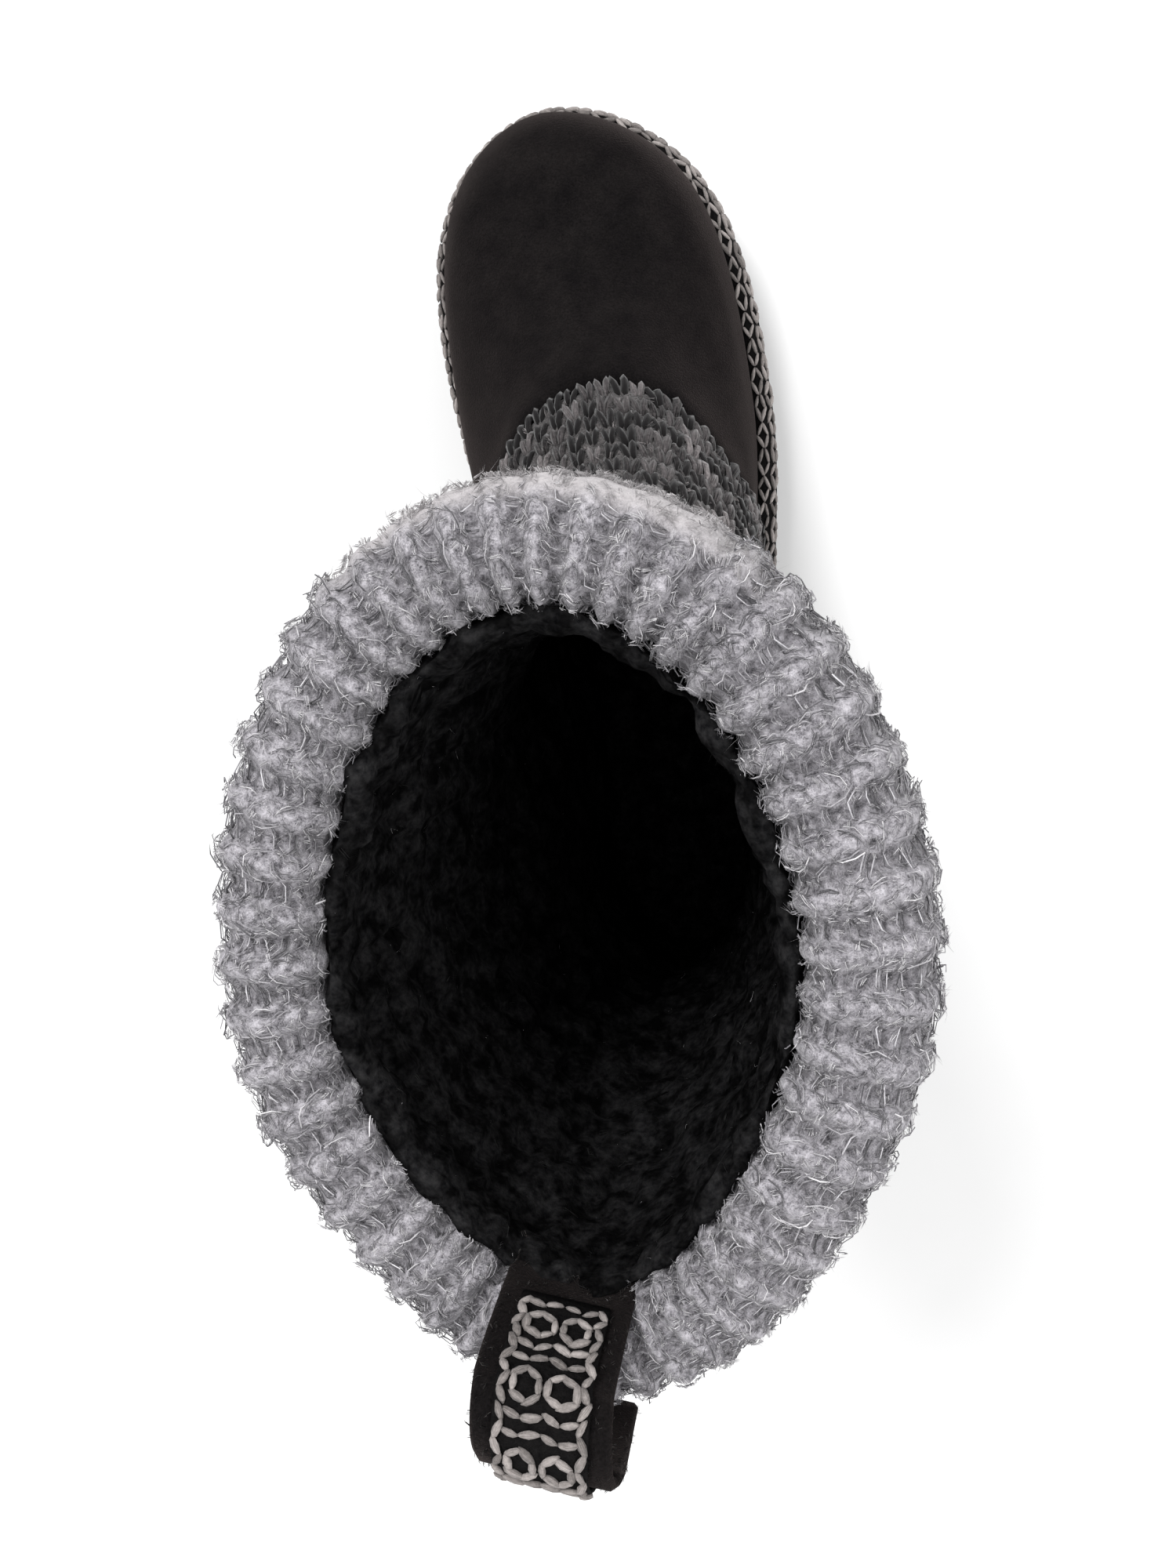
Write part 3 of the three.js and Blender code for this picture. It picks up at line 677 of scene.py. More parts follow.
def new_finish(name, roughness=0.9, sheen=0.0, sheen_roughness=0.5, tint=(1, 1, 1), specular=0.05):
    """A material with its shader, and object coordinates in metres."""
    finish = bpy.data.materials.new(name)
    finish.use_nodes = True
    tree = finish.node_tree
    shader = tree.nodes["Principled BSDF"]
    shader.inputs["Roughness"].default_value = roughness
    shader.inputs["Specular IOR Level"].default_value = specular
    shader.inputs["Sheen Weight"].default_value = sheen
    shader.inputs["Sheen Roughness"].default_value = sheen_roughness
    shader.inputs["Sheen Tint"].default_value = (*tint, 1)
    place = put(tree, "ShaderNodeTexCoord").outputs["Object"]
    return finish, tree, shader, place


def noise(tree, place, size, detail=3.0, roughness=0.6):
    """Soft random cloud whose lumps are about that many millimetres."""
    node = put(
        tree, "ShaderNodeTexNoise", Vector=place, Scale=1 / (size * MM), Detail=detail, Roughness=roughness
    )
    return node.outputs["Fac"]


def grey(value):
    return (value, value, value)


def ramp(tree, value, stops):
    """Colours by value; stops are (place, colour)."""
    node = put(tree, "ShaderNodeValToRGB", Fac=value)
    node.color_ramp.elements.remove(node.color_ramp.elements[0])
    for number, (place, colour) in enumerate(stops):
        elements = node.color_ramp.elements
        element = elements[0] if number == 0 else elements.new(place)
        element.position = place
        element.color = (*colour, 1)
    return node.outputs["Color"]


def blend_colours(tree, share, a, b, how="MIX"):
    node = put(tree, "ShaderNodeMix", {"data_type": "RGBA", "blend_type": how})
    give(tree, node, 0, share)
    give(tree, node, 6, a)
    give(tree, node, 7, b)
    return node.outputs[2]


def add_bump(tree, shader, height, depth, strength=1.0):
    node = put(tree, "ShaderNodeBump", Height=height, Distance=depth * MM, Strength=strength)
    tree.links.new(node.outputs[0], shader.inputs["Normal"])


def attribute(tree, name, output="Fac"):
    return put(tree, "ShaderNodeAttribute", {"attribute_name": name}).outputs[output]


STITCHES_APART = 91.0  # moves each stitch's fibres to a place of their own in the noise


def yarn_finish(name, dark, light, bright, marl=0.3, gleam=0.6, sheen=0.3, streaks=2.2):
    """Spun yarn: each stitch has a tone of its own, and fine fibres run along it."""
    finish, tree, shader, place = new_finish(name, 0.8, sheen, 0.4)
    tone = attribute(tree, "tone")
    along = put(tree, "ShaderNodeMapping", Vector=attribute(tree, "strand", "Vector"))
    along.inputs["Scale"].default_value = (0.8, streaks, streaks)
    apart = put(tree, "ShaderNodeCombineXYZ", X=math_node(tree, "MULTIPLY", tone, STITCHES_APART))
    moved = put(tree, "ShaderNodeVectorMath", {"operation": "ADD"})
    tree.links.new(along.outputs[0], moved.inputs[0])
    tree.links.new(apart.outputs[0], moved.inputs[1])
    fibres = put(
        tree, "ShaderNodeTexNoise", Vector=moved.outputs[0], Scale=1.6, Detail=3.0, Roughness=0.7
    ).outputs["Fac"]
    clouds = noise(tree, place, 0.7, 3.0, 0.7)
    value = math_node(tree, "ADD", fibres, math_node(tree, "MULTIPLY", clouds, 0.5))
    value = math_node(tree, "ADD", value, math_node(tree, "MULTIPLY", tone, marl))
    value = math_node(tree, "ADD", value, math_node(tree, "MULTIPLY", attribute(tree, "gleam"), gleam))
    value = math_node(tree, "SUBTRACT", value, 0.25 + (marl + gleam) / 2)
    colour = ramp(tree, value, [(0.2, dark), (0.5, light), (0.85, bright)])
    tree.links.new(colour, shader.inputs["Base Color"])
    add_bump(tree, shader, fibres, 0.2, 0.8)
    return finish


def knit_ground_finish(name, dark, light, lump=1.4, sheen=0.3, plain=None):
    """The fuzzy body of the knit under its stitches; plain is its colour where it has no ribs. Its valley
    mark paints shade between the ribs and the stitch rows.
    """
    finish, tree, shader, place = new_finish(name, 0.9, sheen, 0.4)
    clouds = noise(tree, place, lump, 4.0, 0.75)
    fine = noise(tree, place, 0.3, 2.0, 0.6)
    value = math_node(tree, "ADD", clouds, math_node(tree, "MULTIPLY", fine, 0.4))
    colour = ramp(tree, value, [(0.5, dark), (0.85, light)])
    if plain:
        # Painted shade: the body darkens where it lies deep between ribs and stitch rows, and lightens a
        # little on the crests
        painted_valley_shade = ramp(tree, attribute(tree, "valley"), [(0.15, grey(1.05)), (0.8, grey(0.52))])
        colour = blend_colours(tree, 1.0, colour, painted_valley_shade, "MULTIPLY")
        low = tuple(mix(a, b, 0.6) for a, b in zip(dark, plain))
        brushed = ramp(tree, value, [(0.45, low), (0.8, plain)])
        colour = blend_colours(tree, attribute(tree, "plain"), colour, brushed)
    tree.links.new(colour, shader.inputs["Base Color"])
    height = math_node(tree, "ADD", math_node(tree, "MULTIPLY", clouds, 4.0), fine)
    add_bump(tree, shader, height, 0.3, 0.8)
    return finish


def suede_finish():
    finish, tree, shader, place = new_finish("brushed_suede", 0.95, 0.08, 0.4, (1.0, 0.82, 0.78), 0.015)
    clouds = noise(tree, place, 9.0, 4.0, 0.62)
    nap = noise(tree, place, 0.55, 3.0, 0.7)
    colour = ramp(tree, clouds, [(0.3, (0.005, 0.0046, 0.005)), (0.7, (0.0105, 0.0094, 0.0094))])
    fleck = ramp(tree, nap, [(0.35, grey(0.6)), (0.72, (1.5, 1.45, 1.45))])
    tree.links.new(blend_colours(tree, 1.0, colour, fleck, "MULTIPLY"), shader.inputs["Base Color"])
    add_bump(tree, shader, nap, 0.35, 0.8)
    return finish


def rubber_finish():
    finish, tree, shader, place = new_finish("moulded_rubber", 0.7, specular=0.3)
    dust = noise(tree, place, 6.0, 5.0, 0.65)
    colour = ramp(tree, dust, [(0.35, (0.011, 0.011, 0.012)), (0.75, (0.024, 0.023, 0.022))])
    tree.links.new(colour, shader.inputs["Base Color"])
    tree.links.new(ramp(tree, dust, [(0.3, grey(0.6)), (0.8, grey(0.85))]), shader.inputs["Roughness"])
    add_bump(tree, shader, noise(tree, place, 0.4, 2.0), 0.12, 0.6)
    return finish


def fleece_finish():
    finish, tree, shader, place = new_finish("curly_fleece", 0.95, specular=0.01)
    clouds = noise(tree, place, 1.6, 3.0)
    colour = ramp(tree, clouds, [(0.3, (0.004, 0.004, 0.0045)), (0.75, (0.02, 0.0195, 0.02))])
    # Painted light and shade: patches of about 5.5 mm darken to shaded gaps between clumps and lighten to lit
    # clump tops
    painted_clump_light_and_shade = ramp(tree, noise(tree, place, 5.5, 3.0), [(0.4, grey(0.3)), (0.62, grey(1.5))])
    colour = blend_colours(tree, 1.0, colour, painted_clump_light_and_shade, "MULTIPLY")
    tree.links.new(colour, shader.inputs["Base Color"])
    add_bump(tree, shader, noise(tree, place, 0.5, 2.0), 0.3, 0.7)
    return finish


def floor_finish():
    finish, tree, shader, place = new_finish("pale_floor", 0.9)
    dust = noise(tree, place, 60.0, 2.0)
    colour = ramp(tree, dust, [(0.0, grey(0.86)), (1.0, grey(0.9))])
    tree.links.new(colour, shader.inputs["Base Color"])
    return finish


# Camera, lights and floor

# In the photograph's pixels: its frame, the camera's focal length and the middle of its view
PHOTO_WIDTH, PHOTO_HEIGHT = 1500, 2000
FOCAL = 1652.0
VIEW_X, VIEW_Y = 877.15, 1243.1

# The camera's place in the surface's own millimetres, and its turns in radians, from the last to the first
CAMERA_PLACE = np.array([44.055, 111.141, 458.999])
CAMERA_TURNS = [("Z", -0.13656), ("Y", 0.07781), ("X", -0.27367)]
SENSOR_HEIGHT = 36

# Lights: name, place and target in metres, size in metres and power in watts
LIGHTS = [
    ("key", (-0.4, 0.85, 1.35), (0, 0, 0.1), 0.7, 18),
    ("fill", (0.9, -0.2, 1.1), (0, 0, 0.1), 0.9, 6),
    ("back", (0.1, -1.1, 0.9), (0, 0, 0.15), 0.8, 3),
]
ROOM_LIGHT = 0.75
FLOOR_REACH = 4000  # millimetres to each side


def add_camera():
    """Close above the collar, as in the photograph: a little to the outer side, the toe up."""
    data = bpy.data.cameras.new("camera")
    data.sensor_fit = "VERTICAL"
    data.sensor_height = SENSOR_HEIGHT
    data.lens = FOCAL * SENSOR_HEIGHT / PHOTO_HEIGHT
    data.shift_x = -(VIEW_X - PHOTO_WIDTH / 2) / PHOTO_HEIGHT
    data.shift_y = (VIEW_Y - PHOTO_HEIGHT / 2) / PHOTO_HEIGHT
    data.clip_start = 0.01
    data.clip_end = 20
    camera = bpy.data.objects.new("camera", data)
    turned = Matrix.Identity(4)
    for axis, angle in CAMERA_TURNS:
        turned = turned @ Matrix.Rotation(angle, 4, axis)
    camera.matrix_world = Matrix.Translation((CAMERA_PLACE + SHIFT) * MM) @ turned
    bpy.context.scene.collection.objects.link(camera)
    bpy.context.scene.camera = camera


def add_area(name, place, target, size, power):
    data = bpy.data.lights.new(name, "AREA")
    data.shape = "DISK"
    data.size = size
    data.energy = power
    light = bpy.data.objects.new(name, data)
    way = Matrix.Translation(place).to_translation() - Matrix.Translation(target).to_translation()
    light.matrix_world = Matrix.Translation(place) @ way.to_track_quat("Z", "Y").to_matrix().to_4x4()
    bpy.context.scene.collection.objects.link(light)


def add_studio():
    world = bpy.data.worlds.new("soft_room")
    world.use_nodes = True
    background = world.node_tree.nodes["Background"]
    background.inputs["Color"].default_value = (1.0, 1.0, 1.0, 1)
    background.inputs["Strength"].default_value = ROOM_LIGHT
    bpy.context.scene.world = world
    bpy.context.scene.view_settings.view_transform = "Standard"
    for light in LIGHTS:
        add_area(*light)
    far = FLOOR_REACH
    corners = [(-far, -far, 0), (far, -far, 0), (far, far, 0), (-far, far, 0)]
    mesh = new_mesh("floor", corners, [(0, 1, 2, 3)])
    mesh.materials.append(floor_finish())
    add_object("floor", mesh)


# The suede foot

EDGE_ROLL = 1.2  # how far the suede's top edge rolls in, over the last share of its height
ROLL_SHARE = 0.035


def make_foot(finish):
    seam = seam_heights(FINE_TURNS)
    rows = []
    for share in np.linspace(0, 1, 34):
        roll = EDGE_ROLL * smooth((share - (1 - ROLL_SHARE)) / ROLL_SHARE)
        rows.append(shell_points(FINE_TURNS, seam * share, -roll))
    for share in np.linspace(0, 1, 18):
        rows.append(shell_points(FINE_TURNS, mix(seam, 0, share), -SUEDE_WALL))
    profiles = np.stack(rows, axis=1)
    for row in (0, -1):
        profiles[:, row, 2] = SOLE_THICKNESS + GAP + toe_spring(profiles[:, row, 1])
    return ring_piece("suede_foot", profiles, finish)


# The cuff

YARN_DEPTH = 1.4  # of the yarn and its fuzz over the cuff's body
FOLD_FULLNESS = 3.2  # how far the fold swells into the opening
SIDE_FULLNESS = 0.3  # by what share the cuff is thicker on its lateral side, and thinner on the other

# The cuff's profile has a corner for each whole number, from its lower edge over the crest to its inner foot
CUFF_STEPS = 78
SHEET_CORNERS = 13
CUFF_CORNERS = np.linspace(0, SHEET_CORNERS, CUFF_STEPS)
INNER_EDGE = 11.0  # corner where the ribs and their yarn end inside
RIB_CORNERS = [0, 1, 11.2, 12, SHEET_CORNERS]
RIB_SHARES = [0, 1, 1, 0.4, 0.1]  # of the ribs' depth, at those corners

POINTS_PER_RIB = 8
CUFF_TURNS = np.arange(RIB_COUNT * POINTS_PER_RIB) * 360 / (RIB_COUNT * POINTS_PER_RIB)

# The plain brushed band at the front: the turn of its middle, its reach and its soft edge in degrees,
# its lower and its upper corner with their soft edges, and how much of the ribs it takes away
PLAIN_MIDDLE = 175
PLAIN_REACH = 44
PLAIN_EDGE = 24
PLAIN_LOW, LOW_EDGE = 3.6, 1.6
PLAIN_HIGH, HIGH_EDGE = 8.1, 0.9
PLAIN_FLATNESS = 0.8

# Corners where the crest's tufts begin and the side's longer ones end
CREST_FROM = 5.6
SIDE_TO = 5.8

STITCH_ROWS = 22  # from the lower edge to the inner one
BAR_DENSITY = 1.15  # bars for each loop of a rib beside them
BAR_LENGTH = 1.2  # of a bar's pitch
FIRST_STITCH = 2.5  # millimetres from the lower edge
STATION_STEPS = 90
STITCH_HEIGHT = 4.4  # by which a stitch's own depth is multiplied
STITCH_FILL = 0.56  # of a rib's width
LOOP_LIFT = 0.7  # of the loops over the sheet
BAR_SINK = 0.3  # of the bars below it
STRAND_SPREAD = np.array([0.08, 0.12, 0.07])

# Half of a knitted loop, from its foot to where it meets its other half, and a bar between two ribs
LOOP_ARM = [(0.24, -0.80, -0.25), (0.44, -0.42, 0.02), (0.46, 0.02, 0.12), (0.30, 0.40, 0.12)]
LOOP_HEAD = (0.0, 0.55, 0.02)
BAR_CURVE = np.array([(-0.5, 0.2, -0.2), (-0.2, -0.08, 0.08), (0.2, -0.08, 0.08), (0.5, 0.2, -0.2)])


def cuff_fullness(turn):
    return 1 + SIDE_FULLNESS * np.sin(np.radians(turn))


def cuff_control(turn):
    """Corners of the cuff's profile at some turns, each a drop and a distance."""
    turn = np.asarray(turn, float)
    face = KNIT_PROUD + GAP
    inside = -(KNIT_WALL + GAP)
    outer = face + CUFF_THICKNESS * cuff_fullness(turn) - YARN_DEPTH
    lining = inside - CUFF_INNER_WALL
    corners = [
        (CUFF_DROP, face + 0.4),
        (CUFF_DROP + 1, mix(face, outer, 0.35)),
        (CUFF_DROP + 0.5, mix(face, outer, 0.75)),
        (CUFF_DROP * 0.93, outer - 0.4),
        (CUFF_DROP * 0.65, outer + 1),
        (CUFF_DROP * 0.35, outer + 1),
        (CUFF_DROP * 0.12, outer + 0.2),
        (-CUFF_RISE * 0.25, mix(face, outer, 0.82)),
        (-CUFF_RISE * 0.72, mix(face, outer, 0.36)),
        (-CUFF_RISE * 0.9, inside * 0.55),
        (-CUFF_RISE * 0.62, lining - 0.6),
        (0.5, lining - FOLD_FULLNESS),
        (CUFF_TUCK * 0.5, lining - FOLD_FULLNESS + 0.6),
        (CUFF_TUCK, lining - 0.2),
    ]
    drops = np.array([drop for drop, _ in corners], float)
    reaches = np.array([np.broadcast_to(reach, turn.shape) for _, reach in corners])
    return drops, reaches


def cuff_sheet(turns, steps):
    """The cuff's outer sheet, from its lower edge over its crest to its inner foot."""
    drops, reaches = cuff_control(turns)
    drop = spline(drops, steps)
    reach = spline(reaches, steps)
    return collar_points(turns[:, None], drop[None, :], reach.T)


def cuff_rib(turns):
    """1 on a rib's crest and -1 in the valley between two ribs."""
    return np.cos(np.radians(turns * RIB_COUNT))


def plain_share(turn, corner):
    """1 where the cuff is brushed plain: a band just below its crest at the front, soft at its edges."""
    front = smooth((PLAIN_REACH - np.abs(turn - PLAIN_MIDDLE)) / PLAIN_EDGE)
    return front * smooth((PLAIN_HIGH - corner) / HIGH_EDGE) * smooth((corner - PLAIN_LOW) / LOW_EDGE)


def cuff_base():
    """The cuff as one closed ring with its ribs, and its outer sheet alone."""
    sheet = cuff_sheet(CUFF_TURNS, CUFF_STEPS)
    depth = np.interp(CUFF_CORNERS, RIB_CORNERS, RIB_SHARES)
    depth = depth[None, :] * (1 - PLAIN_FLATNESS * plain_share(CUFF_TURNS[:, None], CUFF_CORNERS[None, :]))
    rib = cuff_rib(CUFF_TURNS)[:, None] * RIB_DEPTH * depth
    outer = sheet + grid_normals(sheet) * rib[..., None]
    face = KNIT_PROUD + GAP
    inside = -(KNIT_WALL + GAP)
    inner = [(CUFF_TUCK, inside), (CUFF_TUCK / 2, inside), (-GAP, inside), (-GAP, face)]
    inner += [(drop, face) for drop in np.linspace(2, CUFF_DROP - 2, 10)]
    rows = [collar_points(CUFF_TURNS, drop, distance)[:, None] for drop, distance in inner]
    return np.concatenate([outer, *rows], axis=1), outer


def cuff_stations(count, offset):
    """Stitch places down the ribs, or down the valleys with an offset of half a rib."""
    turns = (np.arange(RIB_COUNT) + offset) * 360 / RIB_COUNT
    step = 360 / RIB_COUNT / 4
    keep = int(STATION_STEPS * INNER_EDGE / SHEET_CORNERS)
    sheets = [cuff_sheet(turns + shift, STATION_STEPS)[:, :keep] for shift in (-step, 0, step)]
    stations = []
    for turn, (left, path, right) in zip(turns, np.stack(sheets, axis=1)):
        length = path_length(path)
        mark = np.linspace(FIRST_STITCH, length[-1], count)
        here, across = (
            np.stack([np.interp(mark, length, curve[:, k]) for k in range(3)], axis=1)
            for curve in (path, right - left)
        )
        run = unit(np.gradient(here, axis=0))
        out = unit(np.cross(across, run))
        pitch = np.full(count, mark[1] - mark[0])
        width = np.linalg.norm(across, axis=1) * 2
        corner = np.interp(mark, length, np.linspace(0, INNER_EDGE, len(path)))
        ribbed = plain_share(turn, corner) < 0.5
        stations.append([values[ribbed] for values in (here, out, -run, pitch, width)])
    return (np.concatenate(values) for values in zip(*stations))


def bundle(points, seed, strands, wobble, radii):
    """A loose bundle of strands along a curve, each over four of its points."""
    rng = np.random.default_rng(seed)
    starts = len(points) - 3
    parts = []
    for _ in range(strands):
        first = rng.integers(0, starts) if starts > 1 else 0
        path = points[first : first + 4] + rng.normal(0, 1, 3) * STRAND_SPREAD + rng.normal(0, wobble, (4, 3))
        parts.append(hair(path, rng.uniform(*radii), rng.uniform(0, 1) ** 1.5))
    return join_parts(parts)


def loop_part(seed):
    """One knitted loop: its strands rise, meet at the top and go down again."""
    points = [*((-x, y, z) for x, y, z in LOOP_ARM), LOOP_HEAD, *reversed(LOOP_ARM)]
    return bundle(np.array(points), seed, 7, 0.04, (0.014, 0.03))


def bar_part(seed):
    """One bar between two ribs, which sags in its middle."""
    return bundle(BAR_CURVE, seed, 4, 0.03, (0.016, 0.034))


LOCK_KINDS = 8


def lock_part(length, radius, seed, hairs=4, curl=1.0, segments=2, gleam=1.0, rise=0.3):
    """A small lock of fibres that lie side by side and curl together; rise is how far they stand up."""
    rng = np.random.default_rng(seed)
    t = np.linspace(0, 1, segments + 1)
    bend = rng.uniform(-1.7, 1.7) * curl
    parts = []
    for _ in range(hairs):
        reach = length * rng.uniform(0.55, 1.15)
        angle = bend * t * rng.uniform(0.8, 1.2)
        height = rise * np.sin(math.pi * t * 0.8)
        path = np.stack([np.cos(angle) * t, np.sin(angle) * t, height], axis=1) * reach
        path += rng.normal(0, 0.04 * length, (segments + 1, 3)) * np.minimum(1, t[:, None] * 2)
        path += np.append(rng.uniform(-0.45, 0.45, 2), -0.15)
        parts.append(hair(path, radius * (1 - 0.5 * t), rng.uniform(0, gleam)))
    return join_parts(parts)


def locks(length, radius, seed, **more):
    """Some locks of one kind, no two alike."""
    return [lock_part(length, radius, seed * 50 + kind, **more) for kind in range(LOCK_KINDS)]


def cuff_stitches(finishes):
    """Yarn: loops down the crests of the ribs, and bars across the valleys between them in a darker copy of
    the yarn, as painted shade.
    """
    places, out, along, pitch, width = cuff_stations(STITCH_ROWS, 0.0)
    size = np.stack([width * STITCH_FILL, pitch, np.full(len(pitch), STITCH_HEIGHT)], axis=1)
    loops = [loop_part(seed) for seed in range(12)]
    ribs = set_out(
        "cuff_rib_stitches",
        loops,
        places + out * LOOP_LIFT,
        out,
        along,
        size,
        finishes["cuff_yarn"],
        spread=0.18,
        lean=0.3,
        seed=3,
    )
    places, out, along, pitch, width = cuff_stations(int(STITCH_ROWS * BAR_DENSITY), 0.5)
    size = np.stack([width * STITCH_FILL, pitch * BAR_LENGTH, np.full(len(pitch), STITCH_HEIGHT)], axis=1)
    bars = [bar_part(seed) for seed in range(20, 30)]
    valleys = set_out(
        "cuff_valley_stitches",
        bars,
        places - out * BAR_SINK,
        out,
        along,
        size,
        finishes["shaded_valley_yarn"],
        spread=0.2,
        lean=0.35,
        seed=4,
    )
    return [ribs, valleys]


def cuff_fibres(finishes, outer, plain):
    """Brushed fibres: tufts on the crest, longer ones down the side, a nap on the plain band, and wisps."""
    corner = CUFF_CORNERS
    crest = smooth(corner - CREST_FROM) * smooth((INNER_EDGE + 0.3 - corner) / 0.5)
    side = smooth(corner / 0.6) * (1 - smooth(corner - SIDE_TO))
    cloud = outer + grid_normals(outer) * YARN_DEPTH * 0.6
    tufts = locks(2.6, 0.06, 2, hairs=5)
    longer = locks(3.2, 0.075, 3, hairs=5)
    nap = locks(2.8, 0.06, 4, hairs=5, rise=0.45)
    wisps = locks(6.5, 0.035, 5, hairs=1, curl=1.6, segments=5, gleam=0.7, rise=0.6)
    fuzz, pale = finishes["cuff_fuzz"], finishes["plain_fuzz"]
    return [
        strew("cuff_crest_fuzz", tufts, cloud, crest * (1 - plain), 0.21, fuzz, lean=0.5, seed=6),
        strew("cuff_side_fuzz", longer, cloud, side * (1 - plain), 0.06, fuzz, lean=0.5, seed=7),
        strew("cuff_plain_fuzz", nap, cloud, plain, 0.27, pale, lean=0.6, seed=8),
        strew("cuff_wisps", wisps, cloud, 0.2 * crest + plain, 0.03, pale, lean=0.8, seed=9),
    ]


def mark_cuff(body, shape, plain):
    """Marks on the cuff's body: where it is plain, and how deep between the stitches each point lies, which
    its material turns into painted shade.
    """
    rib = cuff_rib(CUFF_TURNS)[:, None]
    rows = np.cos(2 * math.pi * STITCH_ROWS * CUFF_CORNERS / INNER_EDGE)
    stitch = rows[None, :] * np.where(rib > -0.3, 1, -1)
    valley = 0.3 - 0.27 * rib + 0.3 * stitch
    for name, values in (("plain", plain), ("valley", valley)):
        marks = np.zeros(shape)
        marks[:, :CUFF_STEPS] = values
        add_marks(body.data, name, "FLOAT", marks)


def make_cuff(finishes):
    base, outer = cuff_base()
    plain = plain_share(CUFF_TURNS[:, None], CUFF_CORNERS[None, :])
    body = ring_piece("cuff_body", base, finishes["cuff_ground"])
    mark_cuff(body, base.shape[:2], plain)
    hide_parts("cuff")
    pieces = [body, *cuff_stitches(finishes), *cuff_fibres(finishes, outer, plain)]
    return pieces


# The knitted shaft

SHAFT_TURNS = np.arange(192) * 360 / 192
STITCH_COLUMNS = 60
STITCH_PITCH = 5.4
COLUMN_FILL = 0.94  # of a column's width
KNIT_HEIGHT = 3.6  # by which a stitch's own depth is multiplied
LAST_STITCH = 2.9  # millimetres over the seam
STITCHES_BEHIND = 6.0  # how far the stitches reach up behind the cuff, and their fuzz
FUZZ_BEHIND = 5.0


def knit_starts(turns):
    """Where the knit shows, in sections: a small step above the seam."""
    seam = seam_heights(turns)
    ahead = face_points(turns + 2, seam_heights(turns + 2))
    along = unit(ahead - face_points(turns - 2, seam_heights(turns - 2)))
    rise = face_points(turns, seam + 0.1) - face_points(turns, seam - 0.1)
    climb = np.linalg.norm(rise, axis=-1) / 0.2
    level = np.linalg.norm(np.cross(along, unit(rise)), axis=-1)
    return seam + SEAM_STEP / (climb * level), level


def shaft_ring():
    """The shaft's wall as a closed ring, its foot tucked behind the suede."""
    seam = seam_heights(SHAFT_TURNS)
    low = heights_below(SHAFT_TURNS, seam, SEAM_LAP)
    start, level = knit_starts(SHAFT_TURNS)
    behind = -(SUEDE_WALL + GAP * (3 - 2 * level))
    rows = [shell_points(SHAFT_TURNS, mix(low, start, share), behind) for share in (0, 0.33, 0.66, 1)]
    rows.append(shell_points(SHAFT_TURNS, start, -SUEDE_WALL / 2))
    for share in np.linspace(0.02, 1, 44):
        rows.append(shell_points(SHAFT_TURNS, mix(start, TOP, share), KNIT_PROUD))
    for share in np.linspace(1, 0, 30):
        rows.append(shell_points(SHAFT_TURNS, mix(low, TOP, share), -KNIT_WALL))
    return np.stack(rows, axis=1)


def shaft_stations():
    """Stitch places down the columns, from behind the cuff to the seam."""
    side = 180 / STITCH_COLUMNS
    stations = []
    for turn in np.arange(STITCH_COLUMNS) * 360 / STITCH_COLUMNS:
        bottom = float(knit_starts(np.array([turn]))[0][0])
        top = float(heights_below(turn, TOP, CUFF_DROP - STITCHES_BEHIND))
        heights = np.linspace(top, bottom, 60)
        length = path_length(shell_points(turn, heights, KNIT_PROUD))
        count = max(2, round(length[-1] / STITCH_PITCH))
        height = np.interp(np.linspace(0, length[-1] - LAST_STITCH, count), length, heights)
        along = unit(face_points(turn, height + 0.05) - face_points(turn, height - 0.05))
        across = face_points(turn + side, height) - face_points(turn - side, height)
        here = shell_points(turn, height, KNIT_PROUD)
        stations.append([here, face_normals(turn, height), along, np.linalg.norm(across, axis=-1)])
    return (np.concatenate(values) for values in zip(*stations))


def make_shaft(finishes):
    shaft = ring_piece("shaft_body", shaft_ring(), finishes["shaft_ground"])
    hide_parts("shaft")
    places, out, along, width = shaft_stations()
    same = np.ones(len(width))
    size = np.stack([width * COLUMN_FILL, same * STITCH_PITCH, same * KNIT_HEIGHT], axis=1)
    arms = [tube(knit_path(0.05 * k), [0.2, 0.22, 0.22, 0.2], 4) for k in (-1, 0, 1)]
    pairs = [join_parts([arm, mirrored(arm)]) for arm in arms]
    stitches = set_out(
        "shaft_stitches",
        pairs,
        places,
        out,
        -along,
        size,
        finishes["shaft_yarn"],
        spread=0.15,
        lean=0.18,
        seed=11,
    )
    start, _ = knit_starts(SHAFT_TURNS)
    shown = heights_below(SHAFT_TURNS, TOP, CUFF_DROP - FUZZ_BEHIND)
    heights = mix(start[:, None], shown[:, None], np.linspace(0.03, 1, 24))
    face = shell_points(SHAFT_TURNS[:, None], heights, KNIT_PROUD + 1.0)
    tufts = locks(2.8, 0.08, 6, hairs=5)
    fuzz = strew("shaft_fuzz", tufts, face, 1.0, 0.034, finishes["shaft_fuzz"], lean=0.5, seed=12)
    pieces = [shaft, stitches, fuzz]
    return pieces


def knit_path(shift):
    """One arm of a plain stitch, from its foot by the middle up to its head at the side."""
    low = [(0.12, -0.6, -0.2), (0.16, -0.28, 0.06), (0.25 + shift, 0.05, 0.14)]
    high = [(0.32, 0.34, 0.08), (0.36, 0.6, -0.25)]
    return spline(np.array(low + high), 4)


def mirrored(part):
    """The same part turned over from left to right, its faces still outwards."""
    points, faces, marks = part
    return points * np.array([-1, 1, 1]), [tuple(reversed(face)) for face in faces], marks


# The lining

FLEECE_TURNS = np.arange(150) * 2.4
FLEECE_BACK = (0.5, 0.5)  # how far inside the suede's wall and the knit's its back lies
FLEECE_FACE = (4.0, 6.0)  # and its face
FLEECE_LUMPS = [(17, 1.7), (10, 1.3), (6, 0.7)]  # width and depth of its lumps
MEAN_WAVE = 0.64  # of a sine without its sign


